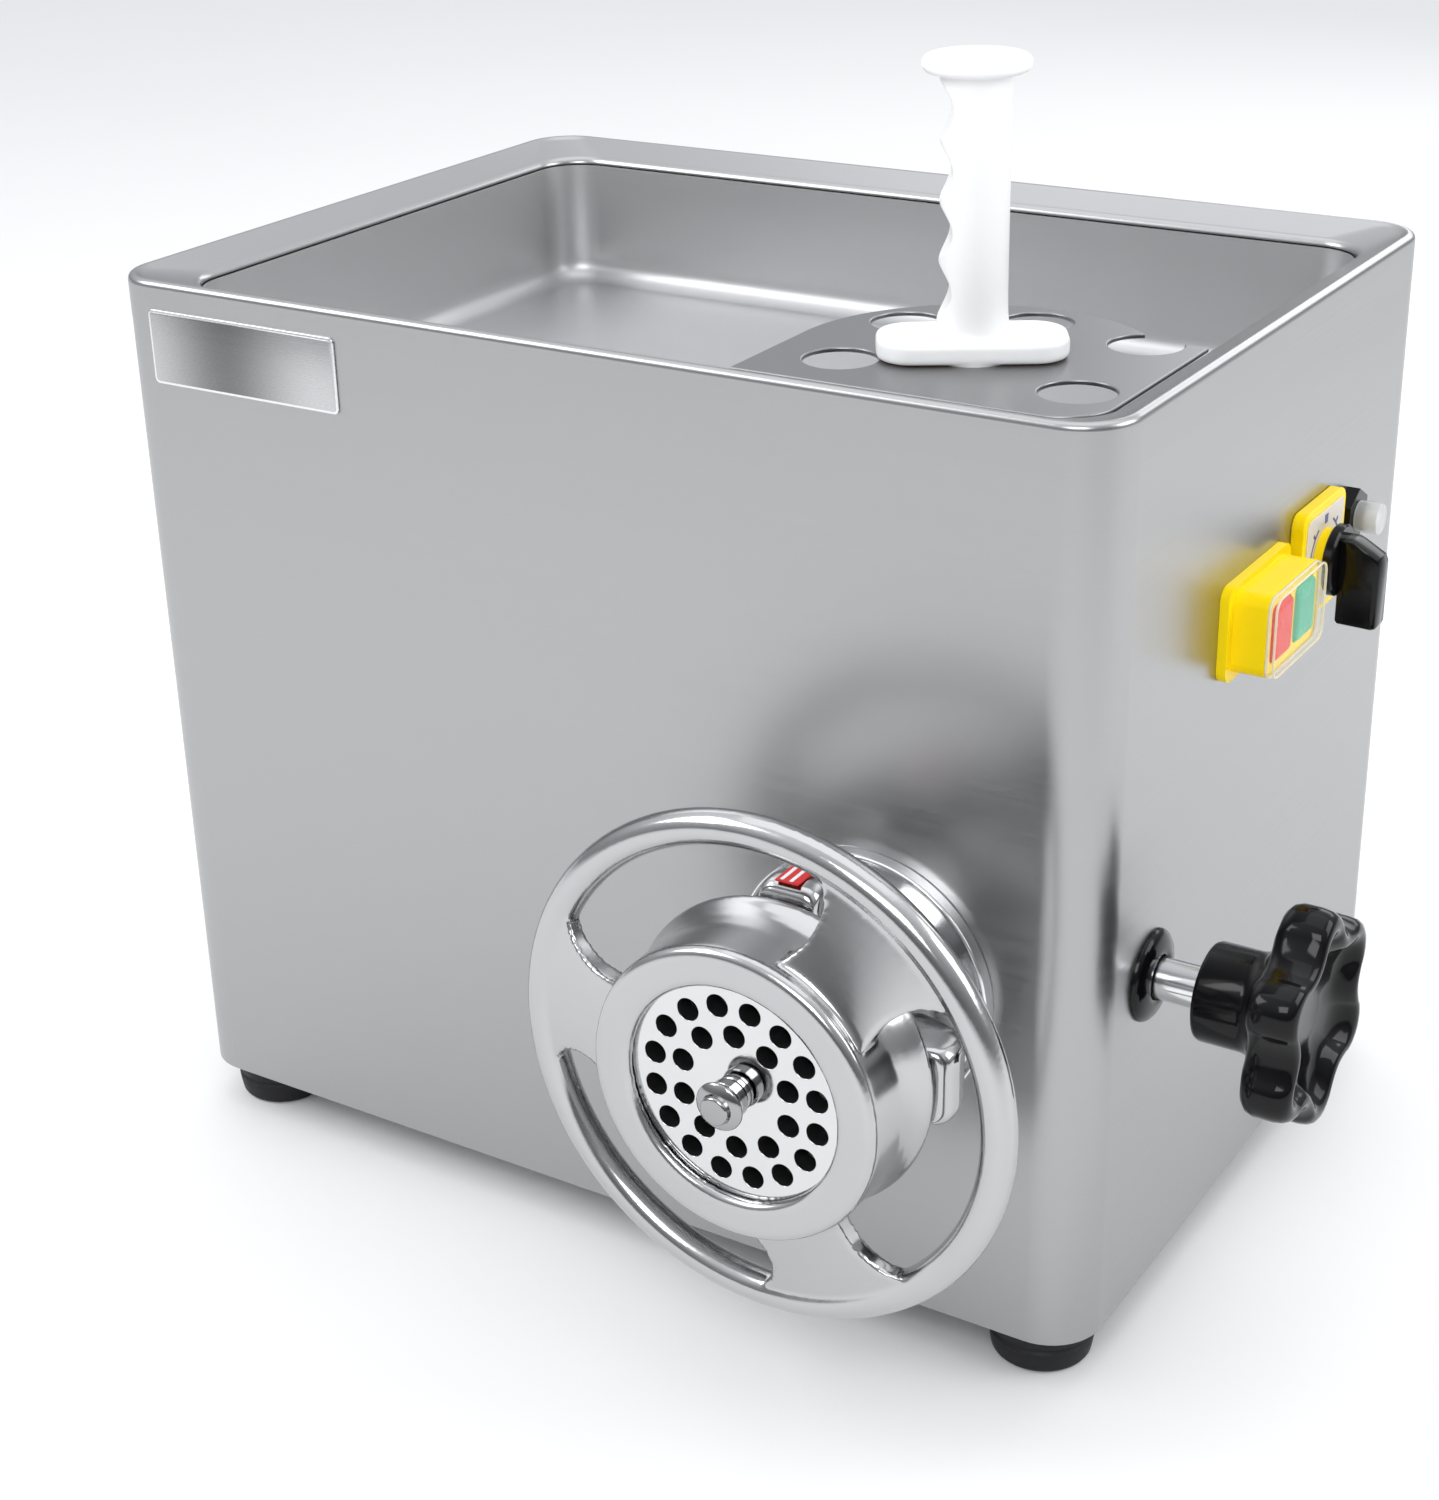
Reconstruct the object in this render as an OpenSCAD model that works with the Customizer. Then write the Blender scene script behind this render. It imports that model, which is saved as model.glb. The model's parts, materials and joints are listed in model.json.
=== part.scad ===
// Box-type electric meat grinder, as an assembly of separate pieces.
// Millimetres. +Z is up, the grinding head points to -Y, the clamp knob to +X.
// The origin is the bottom centre of the box around the whole machine.

/* [Housing] */
// Width of the steel housing
housing_w = 477; // [470:1:500]
// Depth of the steel housing
housing_d = 340; // [335:1:360]
// Height of the steel housing above its feet
housing_h = 395; // [390:1:410]
// Radius of the housing's upright corners
corner_r = 24; // [18:1:30]
// Thickness of the sheet steel
sheet = 1.5; // [1:0.5:2]
// Height of the rubber feet
foot_h = 22; // [18:1:26]
// Radius of a rubber foot
foot_r = 22.5; // [18:0.5:26]
// Distance from a wall to the centre of a foot
foot_inset = 29; // [26:1:34]

/* [Top tray] */
// Height of the tray's folded edge
rim_h = 15; // [12:1:18]
// Width of the rim at the sides and back
rim_w = 20; // [18:1:24]
// Width of the rim at the front
rim_front = 25; // [22:1:28]
// Depth of the basin
basin_depth = 72; // [60:1:80]
// Inner radius of the throat
throat_r = 31; // [30:0.5:32]

/* [Guard plate and pusher] */
// Distance of the guard plate's top below the rim's top
guard_drop = 7; // [5:1:9]
// Thickness of the guard plate
guard_t = 2; // [1.5:0.5:3]
// Radius of the guard plate's rounded part
guard_r = 75; // [72:1:78]
// Radius of the small holes in the guard plate
guard_hole_r = 15; // [12:0.5:16]
// Height of the pusher above the guard plate
pusher_h = 115; // [110:1:140]
// Radius of the pusher's grip
grip_r = 13.5; // [13:0.5:17]
// Radius of the pusher's plunger
plunger_r = 17.5; // [16:0.5:17.5]

/* [Grinding head] */
// Distance from the right wall to the head's axis
head_inset = 98; // [96:1:100]
// Height of the head's axis above the bottom of the housing
head_h = 152; // [150:1:156]
// Distance from the front wall to the tip of the stud
head_reach = 117; // [116:1:120]
// Radius of the barrel's straight body
barrel_r = 44; // [44:0.5:44.5]
// Radius of the barrel's bore
bore_r = 32; // [31:0.5:32]
// Radius of the perforated plate
plate_r = 49.5; // [49:0.1:49.5]
// Thickness of the perforated plate
plate_t = 9; // [8:0.5:9]
// Radius of a hole in the perforated plate
plate_hole_r = 4.7; // [3:0.1:4.8]
// Outer radius of the handwheel
wheel_r = 107; // [104:1:109]
// Radius of the handwheel's rim
wheel_tube_r = 7; // [6:0.5:8]

/* [Clamp knob] */
// Distance from the right wall to the front of the knob
knob_reach = 75; // [70:1:80]
// Outer radius of the knob
knob_r = 47; // [42:1:48]
// Radius of the clamp shaft
clamp_r = 8.75; // [8:0.25:9]

/* [Drive] */
// Teeth on each pinion
pinion_teeth = 14; // [14:1:14]
// Teeth on each large gear
gear_teeth = 42; // [42:1:42]
// Module of the motor pinion and the lay gear
fast_module = 3; // [3:0.1:3]
// Module of the lay pinion and the output gear
slow_module = 3.5; // [3.5:0.1:3.5]
// Radius of the motor's shell
motor_r = 66; // [62:1:67]

/* [Fits] */
// Radial gap of a shaft that turns or slides in a bore
running = 0.05; // [0.02:0.01:0.1]
// Gap between parts that move past each other freely
gap = 0.3; // [0.3:0.1:0.5]

/* [Hidden] */
$fn = 64;

overall_w = housing_w + knob_reach;
overall_d = housing_d + head_reach;
wall_left = -overall_w / 2;
wall_right = wall_left + housing_w;
wall_back = overall_d / 2;
wall_front = wall_back - housing_d;
mid_x = (wall_left + wall_right) / 2;
mid_y = (wall_front + wall_back) / 2;
z_top = foot_h + housing_h;
z_tray = z_top - rim_h;
z_basin = z_top - basin_depth;
z_guard = z_top - guard_drop;
head_x = wall_right - head_inset;
head_z = foot_h + head_h;
// Centre of the throat, behind the front wall
feed_y = wall_front + 84;
clamp_y = wall_front + 57;

// Basin of the tray
basin_x0 = wall_left + rim_w;
basin_x1 = wall_right - rim_w;
basin_y0 = wall_front + rim_front;
basin_y1 = wall_back - rim_w;
basin_corner = 22;

// Distances along the head's axis: positive out of the front wall, negative into the housing
barrel_back = -131.5;
barrel_front = 97;
thread_r = 53.5;
thread_s = 62;
knife_s = 80;
chamber_r = 42;
plate_s = 92;
plate_face = plate_s + plate_t;
nut_s = 66;
lip_s = plate_face + gap;
lip_front = 106;
insert_r = 56.5;
hub_r = 61.5;
lip_r = 45;
ear_reach = 70;
wheel_s = 82;
journal_r = 12;
stud_r = 7.25;
stud_square = 12.6;
tang_square = 13.8;
socket_square = 14;
gearbox_s = -171.5;
socket_r = 58;
socket_end = -133.5;

// Gear train: the output shaft is on the head's axis, the others lie down to the left
gearbox_y = wall_front - gearbox_s;
wall_t = 10;
cavity_d = 40;
cover_y = gearbox_y + wall_t + cavity_d;
back_y = cover_y + wall_t;
fast_y = gearbox_y + 12;
fast_w = 16;
slow_y = gearbox_y + 30;
slow_w = 18;
fast_centres = fast_module * (pinion_teeth + gear_teeth) / 2;
slow_centres = slow_module * (pinion_teeth + gear_teeth) / 2;
lay_angle = 197;
motor_angle = 207;
lay_x = head_x + slow_centres * cos(lay_angle);
lay_z = head_z + slow_centres * sin(lay_angle);
motor_x = lay_x + fast_centres * cos(motor_angle);
motor_z = lay_z + fast_centres * sin(motor_angle);
pressure_angle = 25;
backlash = 0.12;
output_r = 15;
lay_r = 10;
motor_shaft_r = 7.5;
output_bearing_r = 31;
small_bearing_r = 17.5;
rotor_r = 38;
stator_r = 62;

// Places on the right wall, as [y, z]
switch_at = [wall_front + 143, 301];
selector_at = [wall_front + 210.5, 303];
reset_at = [wall_front + 254, 308];

// Cable gland in the base, near the back left corner
gland_at = [wall_left + 76, wall_back - 40];
gland_bore = 4.6;

// ---- shared shapes ----

// A flat rounded rectangle about its centre
module rounded(w, d, r) {
    square([w - 2 * r, d], center = true);
    square([w, d - 2 * r], center = true);
    for (x = [-1, 1], y = [-1, 1])
        translate([x * (w / 2 - r), y * (d / 2 - r)]) circle(r);
}

// The same between two corners
module rounded_box(x0, x1, y0, y1, r) {
    translate([(x0 + x1) / 2, (y0 + y1) / 2]) rounded(x1 - x0, y1 - y0, r);
}

// A rod along Y from y0 to y1
module rod_y(y0, y1, r) {
    translate([0, y0, 0]) rotate([-90, 0, 0]) cylinder(h = y1 - y0, r = r);
}

// A rod along X from x0 to x1
module rod_x(x0, x1, r) {
    translate([x0, 0, 0]) rotate([0, 90, 0]) cylinder(h = x1 - x0, r = r);
}

// The head's frame: the origin is on its axis at the front wall
module at_head() {
    translate([head_x, wall_front, head_z]) children();
}

// A rod on the head's axis between two distances out of the wall
module head_rod(s0, s1, r) {
    rod_y(-s1, -s0, r);
}

// A ring on the head's axis
module head_ring(s0, s1, r_out, r_in) {
    difference() {
        head_rod(s0, s1, r_out);
        head_rod(s0 - 1, s1 + 1, r_in);
    }
}

// A turned profile on the head's axis, drawn as [radius, distance out of the wall]
module head_turned(points) {
    rotate([90, 0, 0]) rotate_extrude() polygon(points);
}

// A place on the right wall: z points out of the wall, x down and y back
module on_wall(place) {
    translate([wall_right, place[0], place[1]]) rotate([0, 90, 0]) children();
}

// A flat profile in the XZ plane, thickened along Y from y0
module slab_y(y0, t) {
    translate([0, y0 + t, 0]) rotate([90, 0, 0]) linear_extrude(t) children();
}

function involute(a) = tan(a) * 180 / PI - a;

// Half the angle of a tooth at radius r
function tooth_half(r, base_r, teeth, pitch_r) =
    90 / teeth - backlash / pitch_r * 180 / PI
    + involute(pressure_angle) - involute(acos(min(1, base_r / max(r, base_r))));

// The outline of a spur gear with one tooth centred on +X
module gear_outline(teeth, m) {
    pitch_r = m * teeth / 2;
    base_r = pitch_r * cos(pressure_angle);
    root_r = pitch_r - 1.25 * m;
    tip_r = pitch_r + 0.9 * m;
    steps = 4;
    polygon([for (i = [0 : teeth - 1], side = [-1, 1], k = [0 : steps])
        let (r = side < 0 ? root_r + (tip_r - root_r) * k / steps : tip_r - (tip_r - root_r) * k / steps,
            a = 360 * i / teeth + side * tooth_half(r, base_r, teeth, pitch_r))
        [r * cos(a), r * sin(a)]]);
}

// A gear on a shaft along Y, with one tooth towards the angle given
module gear(teeth, m, y0, w, angle, hole_r) {
    difference() {
        slab_y(y0, w) rotate(angle) gear_outline(teeth, m);
        rod_y(y0 - 1, y0 + w + 1, hole_r);
    }
}

module at_output() {
    translate([head_x, 0, head_z]) children();
}

module at_lay() {
    translate([lay_x, 0, lay_z]) children();
}

module at_motor() {
    translate([motor_x, 0, motor_z]) children();
}

// ---- housing ----

// Outline of the housing, drawn in by a distance
module housing_outline(inset) {
    translate([mid_x, mid_y]) rounded(housing_w - 2 * inset, housing_d - 2 * inset, corner_r - inset);
}

back_open_x = housing_w / 2 - 36;
back_open_z0 = foot_h + 30;
back_open_z1 = foot_h + 340;
lip = 12;

module back_opening(inset, y0, t) {
    translate([mid_x - back_open_x + inset, y0, back_open_z0 + inset])
        cube([2 * (back_open_x - inset), t, back_open_z1 - back_open_z0 - 2 * inset]);
}

module casing() {
    color("silver") difference() {
        union() {
            translate([0, 0, foot_h]) linear_extrude(z_tray - foot_h) difference() {
                housing_outline(0);
                housing_outline(sheet);
            }
            difference() {
                back_opening(-lip, wall_back - 2 * sheet, sheet);
                back_opening(lip, wall_back - 3 * sheet, 3 * sheet);
            }
        }
        back_opening(0, wall_back - sheet, 2 * sheet);
        at_head() rod_y(-5, 5, barrel_r + 1);
        at_pin() rod_y(-5, 5, pin_r);
        translate([0, clamp_y, head_z]) rod_x(wall_right - 5, wall_right + 5, clamp_r + 1.25);
        on_wall(switch_at) translate([-13, -23, -5]) cube([26, 46, 10]);
        on_wall(selector_at) cylinder(h = 10, r = 12, center = true);
        on_wall(reset_at) cylinder(h = 10, r = 8, center = true);
        for (p = back_screw_places) translate([p[0], 0, p[1]]) rod_y(wall_back - 5, wall_back - sheet, 2);
    }
}

back_screw_places = [for (x = [-1, 1], z = [0, 0.5, 1])
    [mid_x + x * (back_open_x - lip / 2), back_open_z0 + lip / 2 + z * (back_open_z1 - back_open_z0 - lip)]];

module back_panel() {
    slot_w = 66;
    slot_h = 5;
    color("silver") difference() {
        back_opening(gap, wall_back - sheet, sheet);
        for (column = [-1, 0, 1], row = [0 : 7])
            translate([mid_x + column * 90 - slot_w / 2, wall_back - 5, foot_h + 70 + row * 16])
                cube([slot_w, 10, slot_h]);
        for (p = back_screw_places) translate([p[0], 0, p[1]]) rod_y(wall_back - 5, wall_back + 1, 4);
    }
}

module back_panel_screws() {
    color("gainsboro") for (p = back_screw_places) translate([p[0], 0, p[1]]) {
        rod_y(wall_back - 8, wall_back - sheet, 2);
        rod_y(wall_back - sheet, wall_back, 4);
    }
}

module top_tray() {
    color("silver") difference() {
        union() {
            translate([0, 0, z_tray]) linear_extrude(rim_h) difference() {
                housing_outline(0);
                housing_outline(2 * sheet);
            }
            translate([0, 0, z_top - sheet]) linear_extrude(sheet) housing_outline(sheet);
            translate([0, 0, z_basin - sheet]) linear_extrude(basin_depth)
                rounded_box(basin_x0 - sheet, basin_x1 + sheet, basin_y0 - sheet, basin_y1 + sheet,
                    basin_corner + sheet);
        }
        translate([0, 0, z_basin]) linear_extrude(basin_depth + 1)
            rounded_box(basin_x0, basin_x1, basin_y0, basin_y1, basin_corner);
        translate([head_x, feed_y, z_basin - 5]) cylinder(h = 10, r = throat_r + 2);
    }
    // Tabs under the guard plate, welded to the basin's walls
    color("silver") for (x = [head_x - 55, head_x + 40])
        translate([x, basin_y0 - sheet / 2, z_guard - guard_t - 3]) cube([18, 10, 3]);
    color("silver") translate([basin_x1 - 10 + sheet / 2, feed_y + 25, z_guard - guard_t - 3])
        cube([10, 18, 3]);
}

module base_plate() {
    color("silver") difference() {
        translate([0, 0, foot_h]) linear_extrude(2) housing_outline(sheet);
        for (p = foot_places) translate([p[0], p[1], 0]) cylinder(h = 40, r = 3);
        translate([gland_at[0], gland_at[1], 0]) cylinder(h = 40, r = 8);
    }
}

foot_places = [for (x = [wall_left + foot_inset, wall_right - foot_inset],
    y = [wall_front + foot_inset, wall_back - foot_inset]) [x, y]];

module rubber_feet() {
    color("dimgray") for (p = foot_places) translate([p[0], p[1], 0]) rotate_extrude()
        polygon([[7, 0], [foot_r - 3, 0], [foot_r - 1, 3], [foot_r, 8], [foot_r, foot_h - 3],
            [foot_r - 2, foot_h], [3, foot_h], [3, 10], [7, 10]]);
}

module foot_screws() {
    color("gainsboro") for (p = foot_places) translate([p[0], p[1], 5]) {
        cylinder(h = 5, r = 6);
        cylinder(h = 24, r = 3);
        translate([0, 0, 19]) cylinder(h = 5, r = 5.8, $fn = 6);
    }
}

plate_x = wall_left + 76;
plate_z = z_top - 28.5;
badge_w = 103;
badge_h = 33;
badge_t = 1.2;

module nameplate() {
    color("lightgray") translate([plate_x, wall_front, plate_z]) rotate([90, 0, 0])
        linear_extrude(badge_t) rounded(badge_w, badge_h, 2.5);
}

// ---- feed ----

module guard_plate() {
    edge = 0.5;
    color("silver") difference() {
        translate([0, 0, z_guard - guard_t]) linear_extrude(guard_t) intersection() {
            rounded_box(basin_x0, basin_x1 - edge, basin_y0 + edge, basin_y1, basin_corner);
            union() {
                translate([head_x, feed_y]) circle(guard_r);
                translate([head_x - guard_r, basin_y0]) square([200, feed_y - basin_y0]);
                translate([head_x, basin_y0]) square([200, 135 - rim_front]);
            }
        }
        translate([head_x, feed_y, z_guard - 5]) cylinder(h = 10, r = plunger_r + gap);
        for (p = [[-43, -28], [-45, 31], [2, 54], [54, 44], [57, -26]])
            translate([head_x + p[0], feed_y + p[1], z_guard - 5]) cylinder(h = 10, r = guard_hole_r);
    }
}

module throat_tube() {
    color("silver") translate([head_x, feed_y, 0]) difference() {
        translate([0, 0, head_z + 52]) cylinder(h = z_basin - head_z - 52, r = throat_r + 2);
        translate([0, 0, head_z + 50]) cylinder(h = z_basin - head_z, r = throat_r);
    }
}

module pusher() {
    foot_t = 9;
    disc_t = 6.5;
    notch_r = 12;
    notch_pitch = 23;
    notch_depth = 4.5;
    // It turns freely in the guard plate
    turn = 30;
    top = z_guard + pusher_h;
    color("white") translate([head_x, feed_y, 0]) rotate([0, 0, turn]) {
        difference() {
            translate([0, 0, z_guard + foot_t]) cylinder(h = pusher_h - foot_t - disc_t, r = grip_r);
            for (i = [0 : 3]) translate([-grip_r - notch_r + notch_depth, -30, top - 20 - i * notch_pitch])
                rotate([-90, 0, 0]) cylinder(h = 60, r = notch_r);
        }
        translate([0, 0, top - disc_t]) cylinder(h = disc_t, r = 21);
        translate([0, 0, z_guard + 0.2]) linear_extrude(foot_t - 0.2) rounded(75, 36.5, 13);
        translate([0, 0, head_z + 66]) cylinder(h = z_guard + 0.2 - head_z - 66, r = plunger_r);
    }
}

// ---- grinding head ----

module head_socket() {
    bore = barrel_r + running;
    color("lightgray") at_head() difference() {
        union() {
            head_rod(socket_end - 4, -sheet - 1, socket_r);
            head_rod(gearbox_s, socket_end, 40);
            head_rod(gearbox_s, gearbox_s + 8, 66);
            translate([0, feed_y - wall_front, 0]) cylinder(h = 62, r = throat_r + 7);
            translate([0, clamp_y - wall_front, 0]) rod_x(40, socket_r + 24, 21);
        }
        head_rod(socket_end, 1, bore);
        translate([pin_at[0], 0, pin_at[1]]) head_rod(-8, 1, pin_r);
        head_rod(gearbox_s - 1, socket_end + 1, 27);
        translate([0, feed_y - wall_front, 0]) cylinder(h = 80, r = throat_r - 2);
        translate([0, feed_y - wall_front, 52]) cylinder(h = 80, r = throat_r + 2);
        translate([0, clamp_y - wall_front, 0]) rod_x(40, 100, 14);
        for (a = [45 : 90 : 315]) rotate([0, a, 0]) translate([54, 0, 0])
            head_rod(gearbox_s - 1, gearbox_s + 20, 4);
    }
}

module socket_screws() {
    color("gainsboro") at_head() for (a = [45 : 90 : 315]) rotate([0, a, 0]) translate([54, 0, 0]) {
        head_rod(gearbox_s - wall_t, gearbox_s + 8, 4);
        head_rod(gearbox_s + 8, gearbox_s + 16, 6.5);
    }
}

module front_flange() {
    color("gainsboro") difference() {
        at_head() head_turned([[barrel_r + 0.6, 0], [57, 0], [57, 6], [56, 7], [55, 6.5], [53, 3],
            [barrel_r + 0.6, 3]]);
        at_pin() rod_y(-5, 5, pin_r);
    }
}

// Place of the pin beside the barrel
pin_r = 2.5;
pin_at = [-8.5, 48.3];

module at_pin() {
    at_head() translate([pin_at[0], 0, pin_at[1]]) children();
}

module locating_pin() {
    color("gainsboro") at_pin() {
        head_rod(-8, 12, pin_r);
        head_rod(3, 6, pin_r + 1);
    }
}

module barrel() {
    lug_s = 44;
    color("silver") at_head() {
        difference() {
            union() {
                head_turned([[0, barrel_back], [barrel_r, barrel_back], [barrel_r, 48], [thread_r, thread_s],
                    [thread_r, barrel_front], [0, barrel_front]]);
                // Four ears behind the ring nut
                for (ear = [[0, 26], [90, 36], [180, 26], [270, 36]]) rotate([0, ear[0], 0])
                    slab_y(-64, 64 - lug_s) translate([0, ear_reach / 2]) rounded(ear[1], ear_reach, 6);
            }
            head_rod(barrel_back + wall_t, plate_s + 1, bore_r);
            head_rod(knife_s - 1, plate_s + 1, chamber_r);
            head_rod(plate_s, barrel_front + 1, plate_r + 0.1);
            head_rod(barrel_back - 1, barrel_back + wall_t + 1, journal_r + running);
            translate([0, feed_y - wall_front, 0]) cylinder(h = 80, r = throat_r - 2);
            translate([0, 0, -plate_r]) head_rod(plate_s - 4, barrel_front + 1, 2.5);
        }
    }
}

module barrel_mark() {
    color("firebrick") at_head() translate([-5, -62, ear_reach]) cube([10, 14, 0.8]);
}

module plate_key() {
    color("gainsboro") at_head() translate([0, 0, -plate_r]) head_rod(plate_s - 4, plate_s + 5, 2.5);
}

module perforated_plate() {
    color("gainsboro") at_head() difference() {
        head_rod(plate_s, plate_face, plate_r);
        head_rod(plate_s - 1, plate_face + 1, stud_r + running);
        for (ring = [[16, 36], [10, 24]], i = [0 : ring[0] - 1])
            rotate([0, 360 * (i + 0.5) / ring[0], 0]) translate([ring[1], 0, 0])
                head_rod(plate_s - 1, plate_face + 1, plate_hole_r);
        translate([0, 0, -plate_r]) head_rod(plate_s - 1, plate_s + 5, 2.5);
    }
}

// One flight wound round a core, from the rear journal to the knife
module auger() {
    flight_s0 = -118;
    flight_s1 = 78;
    core_r = 15;
    flight_r = bore_r - 0.6;
    pitch = 42;
    flight_angle = 50;
    turns = (flight_s1 - flight_s0) / pitch;
    color("silver") at_head() {
        difference() {
            union() {
                translate([0, -flight_s0, 0]) rotate([90, 0, 0])
                    linear_extrude(flight_s1 - flight_s0, twist = 360 * turns, slices = 48)
                    union() {
                        circle(core_r, $fn = 16);
                        polygon([[0, 0], for (i = [0 : 3])
                            flight_r * [cos(flight_angle * i / 3), sin(flight_angle * i / 3)]]);
                    }
            }
            head_rod(flight_s1 - 20, flight_s1 + 1, stud_r);
        }
        head_rod(barrel_back - 1, flight_s0, journal_r);
        translate([-tang_square / 2, -barrel_back + 1, -tang_square / 2])
            cube([tang_square, 21, tang_square]);
    }
}

module auger_stud() {
    color("gainsboro") at_head() {
        head_rod(58, 78, stud_r);
        translate([-stud_square / 2, -plate_s + 0.5, -stud_square / 2])
            cube([stud_square, plate_s - 0.5 - 78, stud_square]);
        head_rod(plate_s - 0.5, 112, stud_r);
    }
}

module stud_cap() {
    color("gainsboro") at_head() {
        head_rod(112, 116, 10);
        head_rod(116, head_reach, 5.75);
    }
}

module knife() {
    color("gainsboro") at_head() difference() {
        union() {
            head_rod(knife_s, plate_s - gap, 12);
            for (a = [0, 90, 180, 270]) rotate([0, a + 20, 0])
                translate([0, -plate_s + gap, -4]) cube([chamber_r - 2, 7, 9]);
        }
        translate([-stud_square / 2, -plate_s - 1, -stud_square / 2])
            cube([stud_square, 20, stud_square]);
    }
}

// Threaded liner of the handwheel's hub, plain inside at the thread's radius
module ring_nut() {
    color("silver") at_head() head_ring(nut_s + 1, 96, insert_r, thread_r + running);
}

module handwheel() {
    rim_r = wheel_r - wheel_tube_r;
    color("silver") at_head() {
        head_turned([[insert_r + running, nut_s], [hub_r - 2, nut_s], [hub_r, nut_s + 2],
            [hub_r, lip_front - 5], [hub_r - 1.5, lip_front - 1.5], [hub_r - 5, lip_front],
            [lip_r + 2, lip_front], [lip_r, lip_front - 2], [lip_r, lip_s], [plate_r + 1, lip_s],
            [plate_r + 1, 98], [insert_r + running, 98]]);
        translate([0, -wheel_s, 0]) rotate([90, 0, 0]) rotate_extrude() translate([rim_r, 0])
            circle(wheel_tube_r);
        // Three dished webs
        for (a = [172, 52, -68]) rotate([0, -a, 0]) intersection() {
            head_turned([[hub_r - 1, 84], [hub_r - 1, 99], [rim_r, wheel_s + 5], [rim_r, wheel_s - 4]]);
            slab_y(-120, 60) polygon([[0, 0], [rim_r + 9, -35], [rim_r + 9, 35]]);
        }
    }
}

// ---- clamp ----

tip_x = head_x + barrel_r + gap;
knob_back = wall_right + 25;
knob_front = wall_right + knob_reach;

module clamp_bush() {
    color("darkkhaki") translate([0, clamp_y, head_z]) difference() {
        rod_x(head_x + barrel_r + 3, head_x + socket_r + 24, 14);
        rod_x(head_x + barrel_r, head_x + socket_r + 30, clamp_r + running);
    }
}

module shaft_grommet() {
    color("dimgray") translate([0, clamp_y, head_z]) difference() {
        union() {
            rod_x(wall_right, wall_right + 5, 19.5);
            rod_x(wall_right - 3, wall_right, clamp_r + 1.25);
        }
        rod_x(wall_right - 6, wall_right + 10, clamp_r + 0.4);
    }
}

module clamp_shaft() {
    color("gainsboro") translate([0, clamp_y, head_z]) rod_x(tip_x, knob_front - 18, clamp_r);
}

// Six round lobes on a disc, with a dished front
module clamp_knob() {
    lobe_r = 12;
    grip_back = knob_front - 23;
    color("dimgray") translate([0, clamp_y, head_z]) difference() {
        union() {
            rod_x(knob_back, grip_back + 3, 20.5);
            rod_x(grip_back, knob_front - 5, knob_r - 8);
            for (i = [0 : 5]) rotate([60 * i, 0, 0]) translate([0, 0, knob_r - lobe_r])
                rod_x(grip_back, knob_front, lobe_r);
            rod_x(grip_back, knob_front, knob_r - 11);
        }
        rod_x(knob_back - 1, knob_front - 18 + gap, clamp_r + running);
        rod_x(knob_front - 9, knob_front + 1, knob_r - 17);
    }
}

// ---- drive ----

module output_shaft() {
    color("darkgray") at_output() difference() {
        union() {
            rod_y(wall_front - barrel_back + 4, gearbox_y - 2, 21);
            rod_y(gearbox_y - 2, gearbox_y + wall_t + 1, output_r);
            rod_y(gearbox_y + wall_t + 1, slow_y + slow_w, 17);
            rod_y(slow_y + slow_w, back_y, 12);
        }
        translate([-socket_square / 2, wall_front - barrel_back + 3, -socket_square / 2])
            cube([socket_square, 22, socket_square]);
    }
}

module output_gear() {
    color("darkgray") at_output() difference() {
        gear(gear_teeth, slow_module, slow_y, slow_w, lay_angle, 17);
        for (a = [30 : 60 : 330]) rotate([0, a, 0]) translate([42, 0, 0])
            rod_y(slow_y - 1, slow_y + slow_w + 1, 12);
    }
}

module lay_shaft() {
    color("darkgray") at_lay() {
        rod_y(gearbox_y, slow_y, lay_r);
        slab_y(slow_y, slow_w) rotate(lay_angle + 180 + 180 / pinion_teeth)
            gear_outline(pinion_teeth, slow_module);
        rod_y(slow_y + slow_w, back_y, lay_r);
    }
}

module lay_gear() {
    color("darkgray") at_lay() gear(gear_teeth, fast_module, fast_y, fast_w, motor_angle, lay_r);
}

module motor_shaft() {
    color("darkgray") at_motor() {
        rod_y(wall_front + 16, fast_y, motor_shaft_r);
        slab_y(fast_y, fast_w) rotate(motor_angle + 180 + 180 / pinion_teeth)
            gear_outline(pinion_teeth, fast_module);
        rod_y(fast_y + fast_w, back_y, motor_shaft_r);
    }
}

motor_front = wall_front + 46;
core_y0 = motor_front + 26;
core_y1 = gearbox_y - 20;

module ring_y(y0, y1, r_out, r_in) {
    difference() {
        rod_y(y0, y1, r_out);
        rod_y(y0 - 1, y1 + 1, r_in);
    }
}

module rotor_core() {
    color("gray") at_motor() ring_y(core_y0, core_y1, rotor_r, motor_shaft_r);
}

module stator_core() {
    color("gray") at_motor() ring_y(core_y0, core_y1, stator_r, rotor_r + 0.6);
}

module stator_windings() {
    color("peru") at_motor() {
        ring_y(core_y0 - 14, core_y0, stator_r - 6, rotor_r + 6);
        ring_y(core_y1, core_y1 + 14, stator_r - 6, rotor_r + 6);
    }
}

module motor_shell() {
    color("dimgray") at_motor() ring_y(motor_front, gearbox_y, motor_r, stator_r);
}

module motor_end_bell() {
    color("gray") at_motor() difference() {
        rod_y(motor_front - wall_t, motor_front, motor_r);
        rod_y(motor_front - wall_t - 1, motor_front + 1, small_bearing_r);
    }
}

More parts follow.
